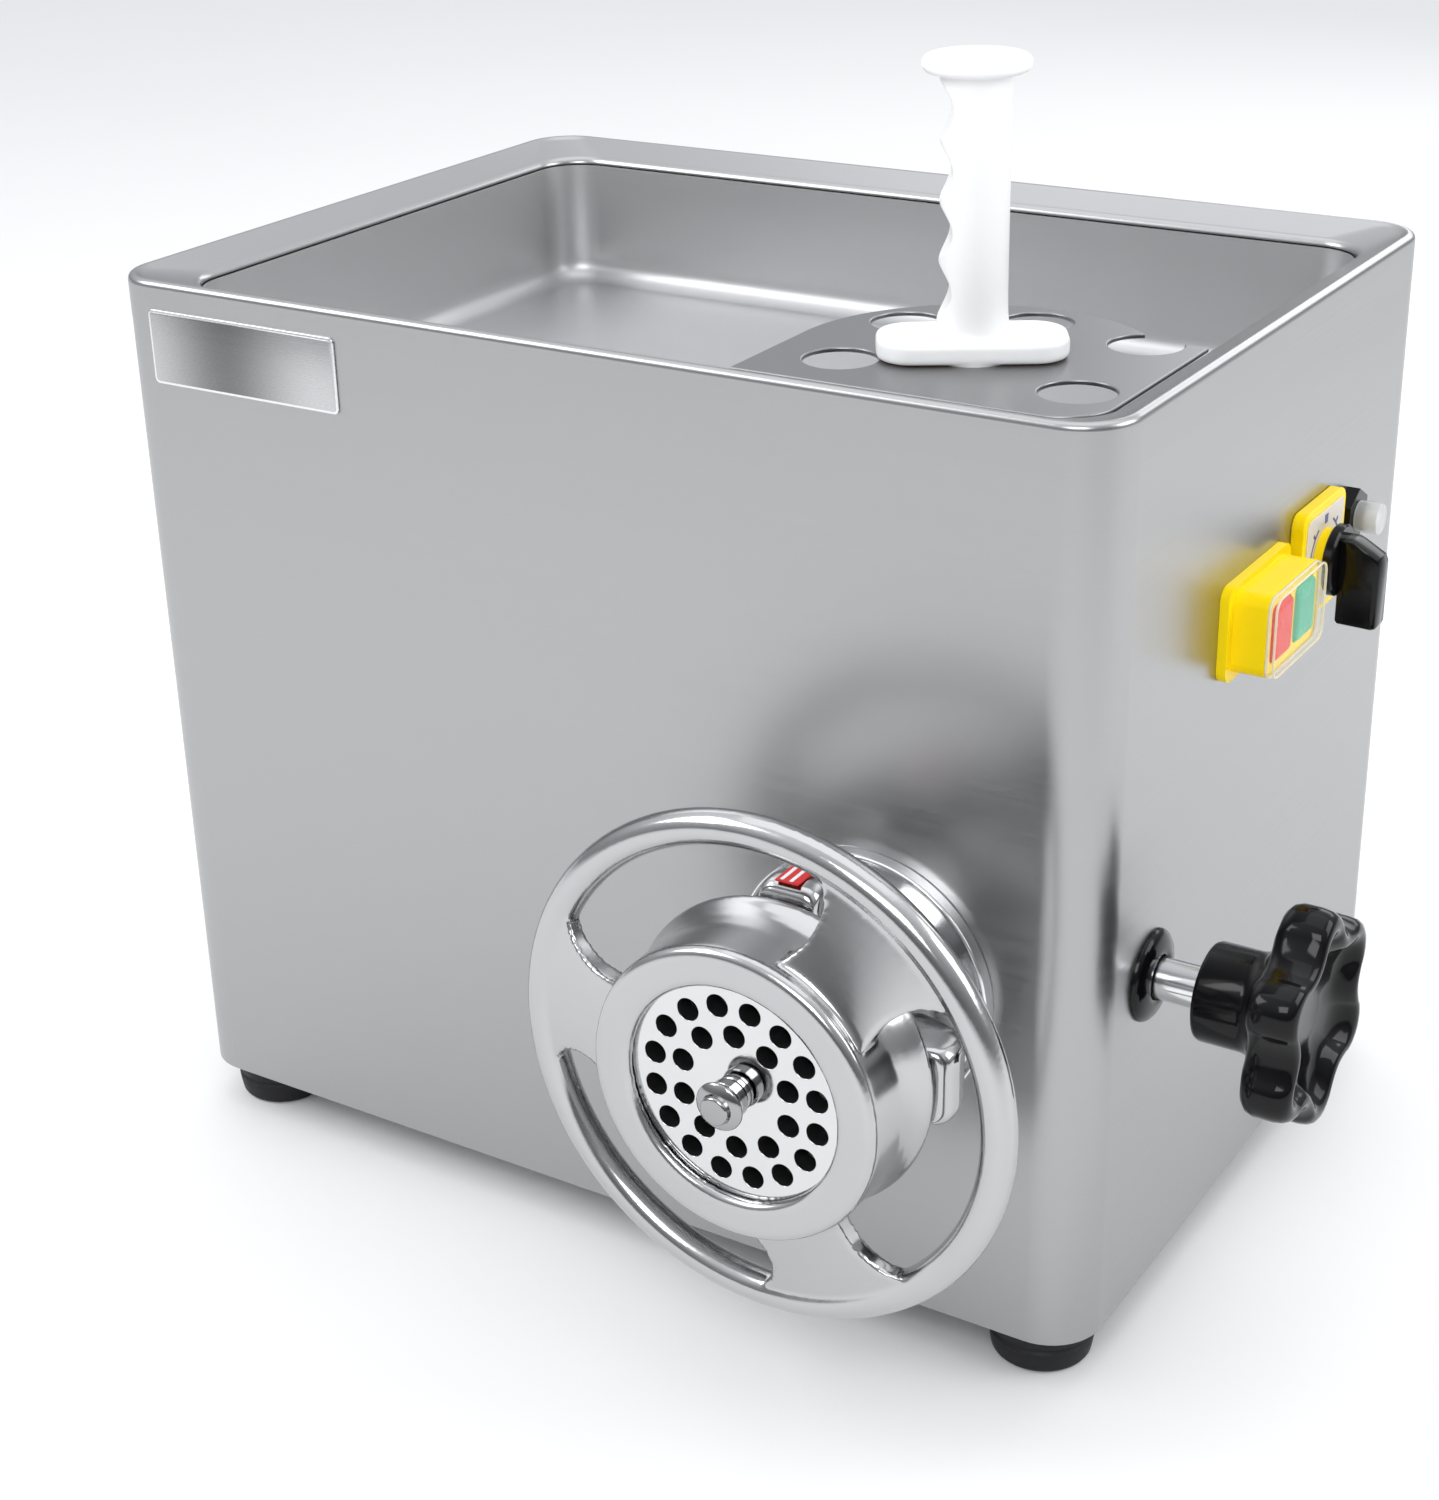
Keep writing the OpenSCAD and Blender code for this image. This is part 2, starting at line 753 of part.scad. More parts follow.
module cooling_fan() {
    fan_y0 = wall_front + 18;
    fan_y1 = motor_front - wall_t - 3;
    color("black") at_motor() difference() {
        union() {
            rod_y(fan_y0, fan_y1, 14);
            rod_y(fan_y1 - 2, fan_y1, 50);
            for (a = [0 : 45 : 315]) rotate([0, a, 0]) translate([12, fan_y0, -1.5])
                cube([40, fan_y1 - fan_y0, 3]);
        }
        rod_y(fan_y0 - 1, fan_y1 + 1, motor_shaft_r);
    }
}

module fan_cowl() {
    cowl_y = wall_front + 8;
    color("dimgray") at_motor() difference() {
        rod_y(cowl_y, motor_front - wall_t, motor_r);
        rod_y(cowl_y + 2, motor_front, motor_r - 2);
        for (a = [0 : 30 : 330]) rotate([0, a, 0]) translate([40, 0, 0])
            rod_y(cowl_y - 1, cowl_y + 3, 6);
        rod_y(cowl_y - 1, cowl_y + 3, 20);
    }
}

// Outline of the gearbox about its three shafts: drawn in by a distance, with a motor lobe of its own
module gearbox_outline(inset, motor_lobe) {
    translate([head_x, head_z]) circle(87 - inset);
    translate([lay_x, lay_z]) circle(77 - inset);
    translate([motor_x, motor_z]) circle(motor_lobe);
}

cover_screw_places = [for (a = [-60, 0, 60, 120]) [head_x + 83 * cos(a), head_z + 83 * sin(a)],
    for (a = [115, 250, 290]) [lay_x + 73 * cos(a), lay_z + 73 * sin(a)],
    for (a = [130, 180, 250]) [motor_x + 64 * cos(a), motor_z + 64 * sin(a)]];

// Cuts the three bearing seats through a wall
module bearing_seats(y0) {
    at_output() rod_y(y0 - 1, y0 + wall_t + 1, output_bearing_r);
    at_lay() rod_y(y0 - 1, y0 + wall_t + 1, small_bearing_r);
    at_motor() rod_y(y0 - 1, y0 + wall_t + 1, small_bearing_r);
}

module gearbox_case() {
    foot_w = 150;
    color("lightgray") difference() {
        union() {
            slab_y(gearbox_y, wall_t + cavity_d) gearbox_outline(0, motor_r + 2);
            translate([lay_x, gearbox_y, foot_h + 2]) cube([foot_w, wall_t, 80]);
            translate([lay_x, gearbox_y, foot_h + 2]) cube([foot_w, wall_t + cavity_d, 8]);
        }
        slab_y(gearbox_y + wall_t, cavity_d + 1) gearbox_outline(8, 34);
        bearing_seats(gearbox_y);
        for (p = cover_screw_places) translate([p[0], 0, p[1]]) rod_y(cover_y - 12, cover_y + 1, 2.5);
        at_head() for (a = [45 : 90 : 315]) rotate([0, a, 0]) translate([54, 0, 0])
            head_rod(gearbox_s - wall_t - 1, gearbox_s + 1, 4);
    }
}

module gearbox_cover() {
    color("lightgray") difference() {
        slab_y(cover_y, wall_t) gearbox_outline(0, motor_r + 2);
        bearing_seats(cover_y);
        for (p = cover_screw_places) translate([p[0], 0, p[1]]) rod_y(cover_y - 1, back_y + 1, 2.5);
    }
}

module gearbox_screws() {
    color("gainsboro") for (p = cover_screw_places) translate([p[0], 0, p[1]]) {
        rod_y(cover_y - 12, back_y, 2.5);
        rod_y(back_y, back_y + 5, 4.2);
    }
}

module bearings() {
    color("gainsboro") {
        at_output() {
            ring_y(gearbox_y, gearbox_y + wall_t, output_bearing_r, output_r + running);
            ring_y(cover_y, back_y, output_bearing_r, 12 + running);
        }
        at_lay() for (y = [gearbox_y, cover_y]) ring_y(y, y + wall_t, small_bearing_r, lay_r + running);
        at_motor() for (y = [motor_front - wall_t, gearbox_y, cover_y])
            ring_y(y, y + wall_t, small_bearing_r, motor_shaft_r + running);
    }
}

// ---- electrics ----

module capacitor() {
    color("whitesmoke") translate([wall_left + 60, wall_front + 60, foot_h + 22]) {
        rod_y(0, 90, 20);
        translate([-24, 30, -20]) cube([48, 25, 6]);
    }
}

module cable_gland() {
    color("black") translate([gland_at[0], gland_at[1], 0]) difference() {
        union() {
            translate([0, 0, 8]) cylinder(h = 8, r = 10);
            translate([0, 0, 16]) cylinder(h = foot_h - 16, r = 12.5, $fn = 6);
            translate([0, 0, foot_h - 1]) cylinder(h = 12, r = 8);
        }
        cylinder(h = 60, r = gland_bore);
    }
}

module gland_nut() {
    color("black") translate([gland_at[0], gland_at[1], foot_h + 2]) difference() {
        cylinder(h = 5, r = 12.5, $fn = 6);
        translate([0, 0, -1]) cylinder(h = 7, r = 8);
    }
}

// Sizes of the on and off switch, across the wall (y), up it (z) and out of it
switch_flange = [41, 67];
switch_box = [35, 57];
switch_out = 18;
button_size = [24, 20];
button_top = 19.8;
button_offset = 12.5;

module switch_base() {
    color("gold") on_wall(switch_at) difference() {
        union() {
            linear_extrude(4) rounded(switch_flange[0], switch_flange[1], 6);
            linear_extrude(switch_out) rounded(switch_box[0], switch_box[1], 6);
        }
        for (y = [-1, 1]) translate([0, y * button_offset, -1]) linear_extrude(switch_out + 2)
            rounded(button_size[0] + 2 * gap, button_size[1] + 2 * gap, 3);
    }
}

module switch_contacts() {
    color("dimgray") on_wall(switch_at) translate([-12, -22, -32]) cube([24, 44, 32]);
}

module button(y) {
    on_wall(switch_at) translate([0, y, 6]) linear_extrude(button_top - 6)
        rounded(button_size[0], button_size[1], 3);
}

module off_button() {
    color("crimson") button(-button_offset);
}

module on_button() {
    color("seagreen") button(button_offset);
}

module switch_cover() {
    color("whitesmoke") on_wall(switch_at) difference() {
        translate([0, 0, switch_out]) linear_extrude(4) rounded(switch_box[0], switch_box[1], 6);
        translate([0, 0, switch_out - 1]) linear_extrude(3.8)
            rounded(switch_box[0] - 3, switch_box[1] - 3, 4.5);
    }
}

selector_w = 50;
selector_t = 6;
collar_out = 10.5;
collar_r = 13;
handle_disc_t = 4.5;
handle_out = 33;

module selector_plate() {
    color("gold") on_wall(selector_at) difference() {
        union() {
            linear_extrude(selector_t) rounded(selector_w, selector_w, 6);
            cylinder(h = collar_out, r = collar_r);
        }
        translate([0, 0, -1]) cylinder(h = 20, r = 5 + gap);
    }
}

module selector_label() {
    color("whitesmoke") on_wall(selector_at) difference() {
        translate([0, 0, selector_t]) linear_extrude(0.5) rounded(selector_w - 7, selector_w - 7, 4);
        cylinder(h = 20, r = collar_r);
    }
}

module selector_switch() {
    color("dimgray") on_wall(selector_at) difference() {
        union() {
            translate([-20, -20, -50]) cube([40, 40, 50 - sheet - 2]);
            translate([0, 0, -5]) cylinder(h = 5, r = 11);
        }
        translate([0, 0, -30]) cylinder(h = 60, r = 5 + running);
    }
}

module selector_handle() {
    color("black") on_wall(selector_at) {
        translate([0, 0, -28]) cylinder(h = 28 + collar_out + gap, r = 5);
        translate([0, 0, collar_out + gap]) cylinder(h = handle_disc_t, r = collar_r + 2.5);
        translate([-11, -6, collar_out + handle_disc_t])
            cube([38, 12, handle_out - collar_out - handle_disc_t]);
    }
}

// Radius of the reset plunger's stem
reset_stem_r = 3.5;

module reset_switch() {
    color("dimgray") on_wall(reset_at) difference() {
        union() {
            translate([0, 0, -24]) cylinder(h = 24, r = 8);
            cylinder(h = 6, r = 12.5, $fn = 6);
            translate([0, 0, 6]) cylinder(h = 4, r = 6);
        }
        translate([0, 0, -14]) cylinder(h = 30, r = reset_stem_r + running);
    }
}

module reset_plunger() {
    color("whitesmoke") on_wall(reset_at) translate([0, 0, -10]) cylinder(h = 25, r = reset_stem_r);
}

module reset_boot() {
    color("white") on_wall(reset_at) difference() {
        translate([0, 0, 6]) cylinder(h = 10.5, r = 7);
        translate([0, 0, 5]) cylinder(h = 10.3, r = 6);
    }
}

casing();
top_tray();
base_plate();
back_panel();
back_panel_screws();
nameplate();
rubber_feet();
foot_screws();
guard_plate();
throat_tube();
head_socket();
socket_screws();
front_flange();
locating_pin();
clamp_bush();
shaft_grommet();
clamp_shaft();
clamp_knob();
barrel();
barrel_mark();
plate_key();
perforated_plate();
auger();
auger_stud();
stud_cap();
knife();
ring_nut();
handwheel();
output_shaft();
output_gear();
lay_shaft();
lay_gear();
motor_shaft();
rotor_core();
cooling_fan();
stator_core();
stator_windings();
motor_shell();
motor_end_bell();
fan_cowl();
gearbox_case();
gearbox_cover();
gearbox_screws();
bearings();
capacitor();
cable_gland();
gland_nut();
switch_base();
switch_contacts();
switch_cover();
off_button();
on_button();
selector_plate();
selector_label();
selector_switch();
selector_handle();
reset_switch();
reset_plunger();
reset_boot();
pusher();
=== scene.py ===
"""The looks of a box-type electric meat grinder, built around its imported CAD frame. Metres, +Z up."""

import json
import math

import bmesh
import bpy
from mathutils import Matrix, Vector


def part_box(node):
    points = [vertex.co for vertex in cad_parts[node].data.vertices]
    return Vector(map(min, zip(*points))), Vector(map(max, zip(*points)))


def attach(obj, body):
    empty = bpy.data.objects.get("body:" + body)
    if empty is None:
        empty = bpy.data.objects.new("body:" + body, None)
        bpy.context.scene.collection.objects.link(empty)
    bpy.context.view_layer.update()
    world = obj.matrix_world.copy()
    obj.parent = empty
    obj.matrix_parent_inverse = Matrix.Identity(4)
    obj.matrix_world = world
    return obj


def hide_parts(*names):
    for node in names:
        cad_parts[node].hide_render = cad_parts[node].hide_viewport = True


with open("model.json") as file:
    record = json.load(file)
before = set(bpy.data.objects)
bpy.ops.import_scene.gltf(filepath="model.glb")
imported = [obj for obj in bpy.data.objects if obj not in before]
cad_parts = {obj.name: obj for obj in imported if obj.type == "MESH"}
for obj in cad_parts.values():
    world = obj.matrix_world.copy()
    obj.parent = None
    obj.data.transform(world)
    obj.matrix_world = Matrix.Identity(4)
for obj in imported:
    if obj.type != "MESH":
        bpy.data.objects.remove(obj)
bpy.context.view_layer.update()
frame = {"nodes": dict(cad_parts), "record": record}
MM = 0.001
NODES = frame["nodes"]
SLOT_OF = {s["node"]: s["material_slot"] for s in frame["record"]["subparts"]}
BODY_OF = {n: b for b, members in frame["record"]["behaviour"]["bodies"].items() for n in members}


def low(node):
    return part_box(node)[0] / MM


def high(node):
    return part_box(node)[1] / MM


def middle(node):
    return (low(node) + high(node)) / 2


SHEET = 1.5  # thickness of the steel sheet, in millimetres
SHARP_ANGLE = 35.0  # edges that bend by more degrees than this stay sharp

# Driving places, in millimetres, from the frame
WALL_LEFT, WALL_FRONT, WALL_BASE = low("casing")
WALL_RIGHT, WALL_BACK, _ = high("casing")
TRAY_BASE = high("casing").z
TRAY_TOP = high("top_tray").z
BASIN_FLOOR = low("top_tray").z + SHEET
HEAD_X = middle("perforated_plate").x
HEAD_Z = middle("perforated_plate").z
FEED_Y = middle("throat_tube").y
CLAMP_Y = middle("clamp_shaft").y
KNOB_FRONT = high("clamp_knob").x
GUARD_TOP = high("guard_plate").z
PUSHER_TOP = high("pusher").z
CORNER_R = 24.0


# ---- materials ----

def socket(shader, name, value):
    shader.inputs[name].default_value = value


def noise(nodes, links, place, scale, detail):
    """Noise in the object's own space, stretched by a scale along each axis."""
    mapping = nodes.new("ShaderNodeMapping")
    mapping.inputs["Scale"].default_value = scale
    links.new(place.outputs["Object"], mapping.inputs["Vector"])
    grain = nodes.new("ShaderNodeTexNoise")
    grain.inputs["Scale"].default_value = 1.0
    grain.inputs["Detail"].default_value = detail
    links.new(mapping.outputs["Vector"], grain.inputs["Vector"])
    return grain


def material(name, color, rough, metal=0.0, vary=0.04, rough_vary=0.05, scale=(60, 60, 60), detail=3.0,
             bump=0.0, bump_scale=None, bump_mm=0.05, alpha=1.0, subsurface=0.0, specular=0.5, ior=1.5):
    """A principled material whose colour, roughness and relief come from noise in the object's own space."""
    mat = bpy.data.materials.new(name)
    mat.use_nodes = True
    nodes, links = mat.node_tree.nodes, mat.node_tree.links
    shader = nodes["Principled BSDF"]
    socket(shader, "Metallic", metal)
    socket(shader, "Alpha", alpha)
    socket(shader, "Subsurface Weight", subsurface)
    socket(shader, "Specular IOR Level", specular)
    socket(shader, "IOR", ior)
    place = nodes.new("ShaderNodeTexCoord")
    grain = noise(nodes, links, place, scale, detail)
    tint = nodes.new("ShaderNodeMix")
    tint.data_type = "RGBA"
    tint.inputs["A"].default_value = [c * (1 - vary) for c in color] + [1]
    tint.inputs["B"].default_value = [min(1, c * (1 + vary)) for c in color] + [1]
    links.new(grain.outputs["Fac"], tint.inputs["Factor"])
    links.new(tint.outputs["Result"], shader.inputs["Base Color"])
    spread = nodes.new("ShaderNodeMapRange")
    spread.inputs["From Min"].default_value = 0.3
    spread.inputs["From Max"].default_value = 0.7
    spread.inputs["To Min"].default_value = max(0.02, rough - rough_vary)
    spread.inputs["To Max"].default_value = min(1, rough + rough_vary)
    links.new(grain.outputs["Fac"], spread.inputs["Value"])
    links.new(spread.outputs["Result"], shader.inputs["Roughness"])
    if bump:
        relief = nodes.new("ShaderNodeBump")
        relief.inputs["Strength"].default_value = bump
        relief.inputs["Distance"].default_value = bump_mm * MM
        source = noise(nodes, links, place, bump_scale, detail) if bump_scale else grain
        links.new(source.outputs["Fac"], relief.inputs["Height"])
        links.new(relief.outputs["Normal"], shader.inputs["Normal"])
    return mat


def smooth_range(nodes, start, end, first, last):
    """A node that eases from one value to another as its input goes from start to end."""
    ease = nodes.new("ShaderNodeMapRange")
    ease.interpolation_type = "SMOOTHSTEP"
    for name, value in (("From Min", start), ("From Max", end), ("To Min", first), ("To Max", last)):
        ease.inputs[name].default_value = value
    return ease


GREY = (0.39, 0.392, 0.397)
M = {
    # Horizontal brushing on the upright walls: fine across Z, long in X and Y
    "satin_wall": material("satin_wall", GREY, 0.34, 1.0, 0.035, 0.04, (5, 5, 1500), 4, 0.22, None, 0.01),
    # Brushing along X on level faces
    "satin_top": material("satin_top", (0.5, 0.503, 0.51), 0.33, 1.0, 0.03, 0.03, (5, 900, 5), 3, 0.03, None, 0.01),
    "basin_steel": material("basin_steel", (0.5, 0.503, 0.51), 0.4, 0.85, 0.01, 0.01, (30, 30, 30)),
    "rim_steel": material("rim_steel", (0.38, 0.382, 0.388), 0.28, 1.0, 0.01, 0.008, (12, 12, 12)),
    "guard_steel": material("guard_steel", (0.27, 0.272, 0.28), 0.36, 1.0, 0.01, 0.01, (12, 12, 12)),
    "bright_steel": material("bright_steel", (0.72, 0.72, 0.73), 0.12, 1.0, 0.03, 0.04, (70, 70, 70)),
    "plate_steel": material("plate_steel", (0.62, 0.62, 0.625), 0.09, 1.0, 0.03, 0.03, (60, 60, 60)),
    # Nearly black: painted shade inside holes, not the colour of the parts they are cut in
    "painted_hole_shade": material("painted_hole_shade", (0.03, 0.03, 0.032), 0.45, 0.6, 0.3, 0.1, (300, 300, 300)),
    "polished_casting": material("polished_casting", (0.46, 0.462, 0.468), 0.16, 1.0, 0.04, 0.05, (30, 30, 30), 4,
                                 0.05, (55, 55, 55), 0.4),
    "stud_chrome": material("stud_chrome", (0.34, 0.34, 0.345), 0.06, 1.0, 0.04, 0.03, (70, 70, 70)),
    # Dark steel for the auger, knife and ring nut: painted shade for the dark inside of the head, not their own
    # colour
    "shade_darkened_steel": material("shade_darkened_steel", (0.16, 0.16, 0.165), 0.35, 1.0, 0.1, 0.08, (90, 90, 90)),
    "fasteners": material("fasteners", (0.5, 0.5, 0.51), 0.28, 1.0, 0.06, 0.08, (300, 300, 300)),
    "cast_aluminium": material("cast_aluminium", (0.45, 0.46, 0.47), 0.5, 1.0, 0.08, 0.1, (400, 400, 400), 5, 0.5,
                               None, 0.15),
    "bronze": material("bronze", (0.5, 0.33, 0.13), 0.3, 1.0, 0.06, 0.06, (200, 200, 200)),
    "machined_steel": material("machined_steel", (0.36, 0.36, 0.38), 0.3, 1.0, 0.05, 0.08, (20, 900, 20)),
    "core_steel": material("core_steel", (0.15, 0.15, 0.17), 0.5, 1.0, 0.2, 0.1, (5, 1800, 5), 2, 0.4, None, 0.1),
    "copper_windings": material("copper_windings", (0.45, 0.14, 0.04), 0.35, 0.6, 0.2, 0.1, (600, 60, 600), 3, 0.5,
                                None, 0.3),
    "painted_motor": material("painted_motor", (0.04, 0.05, 0.07), 0.45, 0.0, 0.1, 0.08, (300, 300, 300), 3, 0.2),
    "black_rubber": material("black_rubber", (0.009, 0.009, 0.01), 0.55, 0.0, 0.2, 0.08, (300, 300, 300), 4, 0.3,
                             specular=0.3),
    "black_plastic": material("black_plastic", (0.003, 0.003, 0.0035), 0.12, 0.0, 0.15, 0.04, (60, 60, 60), 3, 0.08,
                              (400, 400, 400), 0.02, specular=0.22),
    "badge_silver": material("badge_silver", (0.5, 0.502, 0.508), 0.28, 1.0, 0.05, 0.04, (5, 5, 1500), 3, 0.05,
                             None, 0.01),
    "badge_edge": material("badge_edge", (0.72, 0.722, 0.73), 0.25, 1.0, 0.03, 0.04, (90, 90, 90)),
    "red_paint": material("red_paint", (0.6, 0.01, 0.012), 0.3, 0.0, 0.1, 0.05, (200, 200, 200)),
    "white_plastic": material("white_plastic", (0.87, 0.873, 0.876), 0.32, 0.0, 0.006, 0.03, (40, 40, 40), 2, 0.04,
                              (200, 200, 200), 0.02, subsurface=0.05),
    "light_plastic": material("light_plastic", (0.6, 0.6, 0.58), 0.4, 0.0, 0.03, 0.05, (90, 90, 90)),
    "yellow_plastic": material("yellow_plastic", (0.93, 0.68, 0.004), 0.2, 0.0, 0.05, 0.05, (80, 80, 80), 3, 0.08,
                               (600, 600, 600), 0.02, ior=1.22),
    "label_white": material("label_white", (0.66, 0.61, 0.54), 0.35, 0.0, 0.03, 0.05, (120, 120, 120)),
    "label_ink": material("label_ink", (0.03, 0.05, 0.16), 0.4, 0.0, 0.1, 0.05, (200, 200, 200)),
    "red_plastic": material("red_plastic", (0.7, 0.002, 0.004), 0.25, 0.0, 0.06, 0.05, (80, 80, 80), ior=1.15),
    "green_plastic": material("green_plastic", (0.04, 0.42, 0.26), 0.25, 0.0, 0.06, 0.05, (80, 80, 80), ior=1.15),
    "clear_cover": material("clear_cover", (0.92, 0.9, 0.82), 0.08, 0.0, 0.02, 0.03, (60, 60, 60), 3, 0.1,
                            (40, 40, 40), 0.3, alpha=0.08),
    "cover_edge": material("cover_edge", (0.85, 0.78, 0.55), 0.15, 0.0, 0.04, 0.04, (60, 60, 60), alpha=0.6),
    "clear_boot": material("clear_boot", (0.75, 0.76, 0.76), 0.2, 0.0, 0.03, 0.05, (90, 90, 90), alpha=0.4),
}
M["satin_steel"] = M["satin_wall"]
TOP_GRAIN = {"guard_plate", "base_plate"}
# Parts inside the head, which get the steel darkened as painted shade
PAINTED_SHADE_PARTS = {"auger", "knife", "ring_nut"}


# ---- mesh helpers ----

def build(name, verts, faces, mat, body, slot, replaces=(), flat_angle=SHARP_ANGLE):
    """A mesh piece from millimetre points, riding on a body."""
    mesh = bpy.data.meshes.new(name)
    mesh.from_pydata([Vector(v) * MM for v in verts], [], faces)
    bm = bmesh.new()
    bm.from_mesh(mesh)
    bmesh.ops.remove_doubles(bm, verts=bm.verts, dist=1e-7)
    bmesh.ops.recalc_face_normals(bm, faces=bm.faces)
    bm.to_mesh(mesh)
    bm.free()
    obj = bpy.data.objects.new(name, mesh)
    bpy.context.scene.collection.objects.link(obj)
    return dress(obj, mat, body, slot, replaces, flat_angle)


def dress(obj, mat, body, slot, replaces=(), flat_angle=SHARP_ANGLE):
    """Material, smooth shading up to an angle and body for a finished mesh. The slot is not used."""
    obj.data.materials.clear()
    obj.data.materials.append(mat)
    for face in obj.data.polygons:
        face.use_smooth = True
    obj.data.set_sharp_from_angle(angle=math.radians(flat_angle))
    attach(obj, body)
    if replaces:
        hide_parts(*replaces)
    return obj


def bevel(obj, width, segments):
    """Rounds the sharp edges, keeping flat faces flat."""
    mod = obj.modifiers.new("round_edges", "BEVEL")
    mod.width = width * MM
    mod.segments = segments
    mod.limit_method = "ANGLE"
    mod.angle_limit = math.radians(SHARP_ANGLE)
    mod.use_clamp_overlap = True
    mod.harden_normals = False
    keep = obj.modifiers.new("flat_faces", "WEIGHTED_NORMAL")
    keep.keep_sharp = True


def refined(node, mat, width=0.5, segments=2):
    """A copy of a CAD node with clean faces and rounded edges, in its place."""
    mesh = NODES[node].data.copy()
    bm = bmesh.new()
    bm.from_mesh(mesh)
    bmesh.ops.remove_doubles(bm, verts=bm.verts, dist=2e-6)
    bmesh.ops.dissolve_limit(bm, angle_limit=math.radians(0.4), verts=bm.verts, edges=bm.edges)
    for face in bm.faces:
        face.smooth = True
    bm.to_mesh(mesh)
    bm.free()
    obj = bpy.data.objects.new(node + "_body", mesh)
    bpy.context.scene.collection.objects.link(obj)
    dress(obj, mat, BODY_OF[node], SLOT_OF[node], [node])
    bevel(obj, width, segments)


def lathe_grid(profile, segments, place, closed=True):
    """Points and faces of a turned profile [(radius, along)]; place maps (radius, angle, along) to a point."""
    verts, faces = [], []
    count = len(profile)
    for i in range(segments):
        angle = 2 * math.pi * i / segments
        verts += [place(r, angle, along) for r, along in profile]
    last = count if closed else count - 1
    for i in range(segments):
        j = (i + 1) % segments
        for k in range(last):
            m = (k + 1) % count
            a, b, c, d = i * count + k, i * count + m, j * count + m, j * count + k
            quad = [a, b, c, d]
            if profile[k][0] == 0 and profile[m][0] == 0:
                continue
            if profile[k][0] == 0:
                quad = [a, b, c]
            elif profile[m][0] == 0:
                quad = [a, b, d]
            faces.append(quad)
    return verts, faces


def on_head(r, angle, s):
    """A point of the head: radius, angle from +X towards +Z, and distance out of the front wall."""
    return (HEAD_X + r * math.cos(angle), WALL_FRONT - s, HEAD_Z + r * math.sin(angle))


def on_clamp(r, angle, x):
    """A point of the clamp: radius, angle from +Y towards +Z, and distance out of the right wall."""
    return (WALL_RIGHT + x, CLAMP_Y + r * math.cos(angle), HEAD_Z + r * math.sin(angle))


def upright(cx, cy):
    return lambda r, angle, z: (cx + r * math.cos(angle), cy + r * math.sin(angle), z)


def arc(cx, cy, r, a0, a1, steps):
    """Points of an arc, angles in degrees."""
    return [(cx + r * math.cos(math.radians(a0 + (a1 - a0) * i / steps)),
             cy + r * math.sin(math.radians(a0 + (a1 - a0) * i / steps))) for i in range(steps + 1)]


def rounded_loop(x0, x1, y0, y1, r, steps=8):
    """A closed loop round a rectangle with rounded corners, as (x, y)."""
    loop = []
    for cx, cy, a in ((x1 - r, y1 - r, 0), (x0 + r, y1 - r, 90), (x0 + r, y0 + r, 180), (x1 - r, y0 + r, 270)):
        loop += arc(cx, cy, r, a, a + 90, steps)
    return loop


def loft(loops, ends=True):
    """Faces that join loops of equal length, with end caps if asked."""
    verts = [p for loop in loops for p in loop]
    n = len(loops[0])
    faces = []
    for k in range(len(loops) - 1):
        for i in range(n):
            j = (i + 1) % n
            faces.append([k * n + i, k * n + j, (k + 1) * n + j, (k + 1) * n + i])
    if ends:
        faces.append(list(range(n))[::-1])
        faces.append([(len(loops) - 1) * n + i for i in range(n)])
    return verts, faces


def join_parts(parts):
    """One list of points and faces from several."""
    verts, faces = [], []
    for v, f in parts:
        offset = len(verts)
        verts += v
        faces += [[i + offset for i in face] for face in f]
    return verts, faces


def pillow(x0, x1, y0, y1, z0, z1, r, edge, to, steps=8):
    """A rounded slab from z0 to z1 with rounded rims; to maps (x, y, z) to its place."""
    quarter = arc(0, 0, edge, 0, 90, 3)
    sections = [(edge - out, z0 + edge - up) for up, out in quarter]
    sections += [(edge - out, z1 - edge + up) for out, up in quarter]
    loops = []
    for inset, z in sections:
        loops.append([to(x, y, z) for x, y in rounded_loop(
            x0 + inset, x1 - inset, y0 + inset, y1 - inset, max(r - inset, 0.3), steps)])
    return loft(loops)


def remeshed(obj, voxel, smooth):
    """Blends unioned solids into one cast skin."""
    mod = obj.modifiers.new("skin", "REMESH")
    mod.mode = "VOXEL"
    mod.voxel_size = voxel * MM
    mod.use_smooth_shade = True
    soften = obj.modifiers.new("soften", "SMOOTH")
    soften.factor = 0.5
    soften.iterations = smooth


# ---- housing ----

def sheeted(obj):
    """Gives an open skin the thickness of the sheet, inwards."""
    sheet = obj.modifiers.new("sheet", "SOLIDIFY")
    sheet.thickness = SHEET * MM
    sheet.offset = -1
    flat = obj.modifiers.new("flat_faces", "WEIGHTED_NORMAL")
    flat.keep_sharp = True


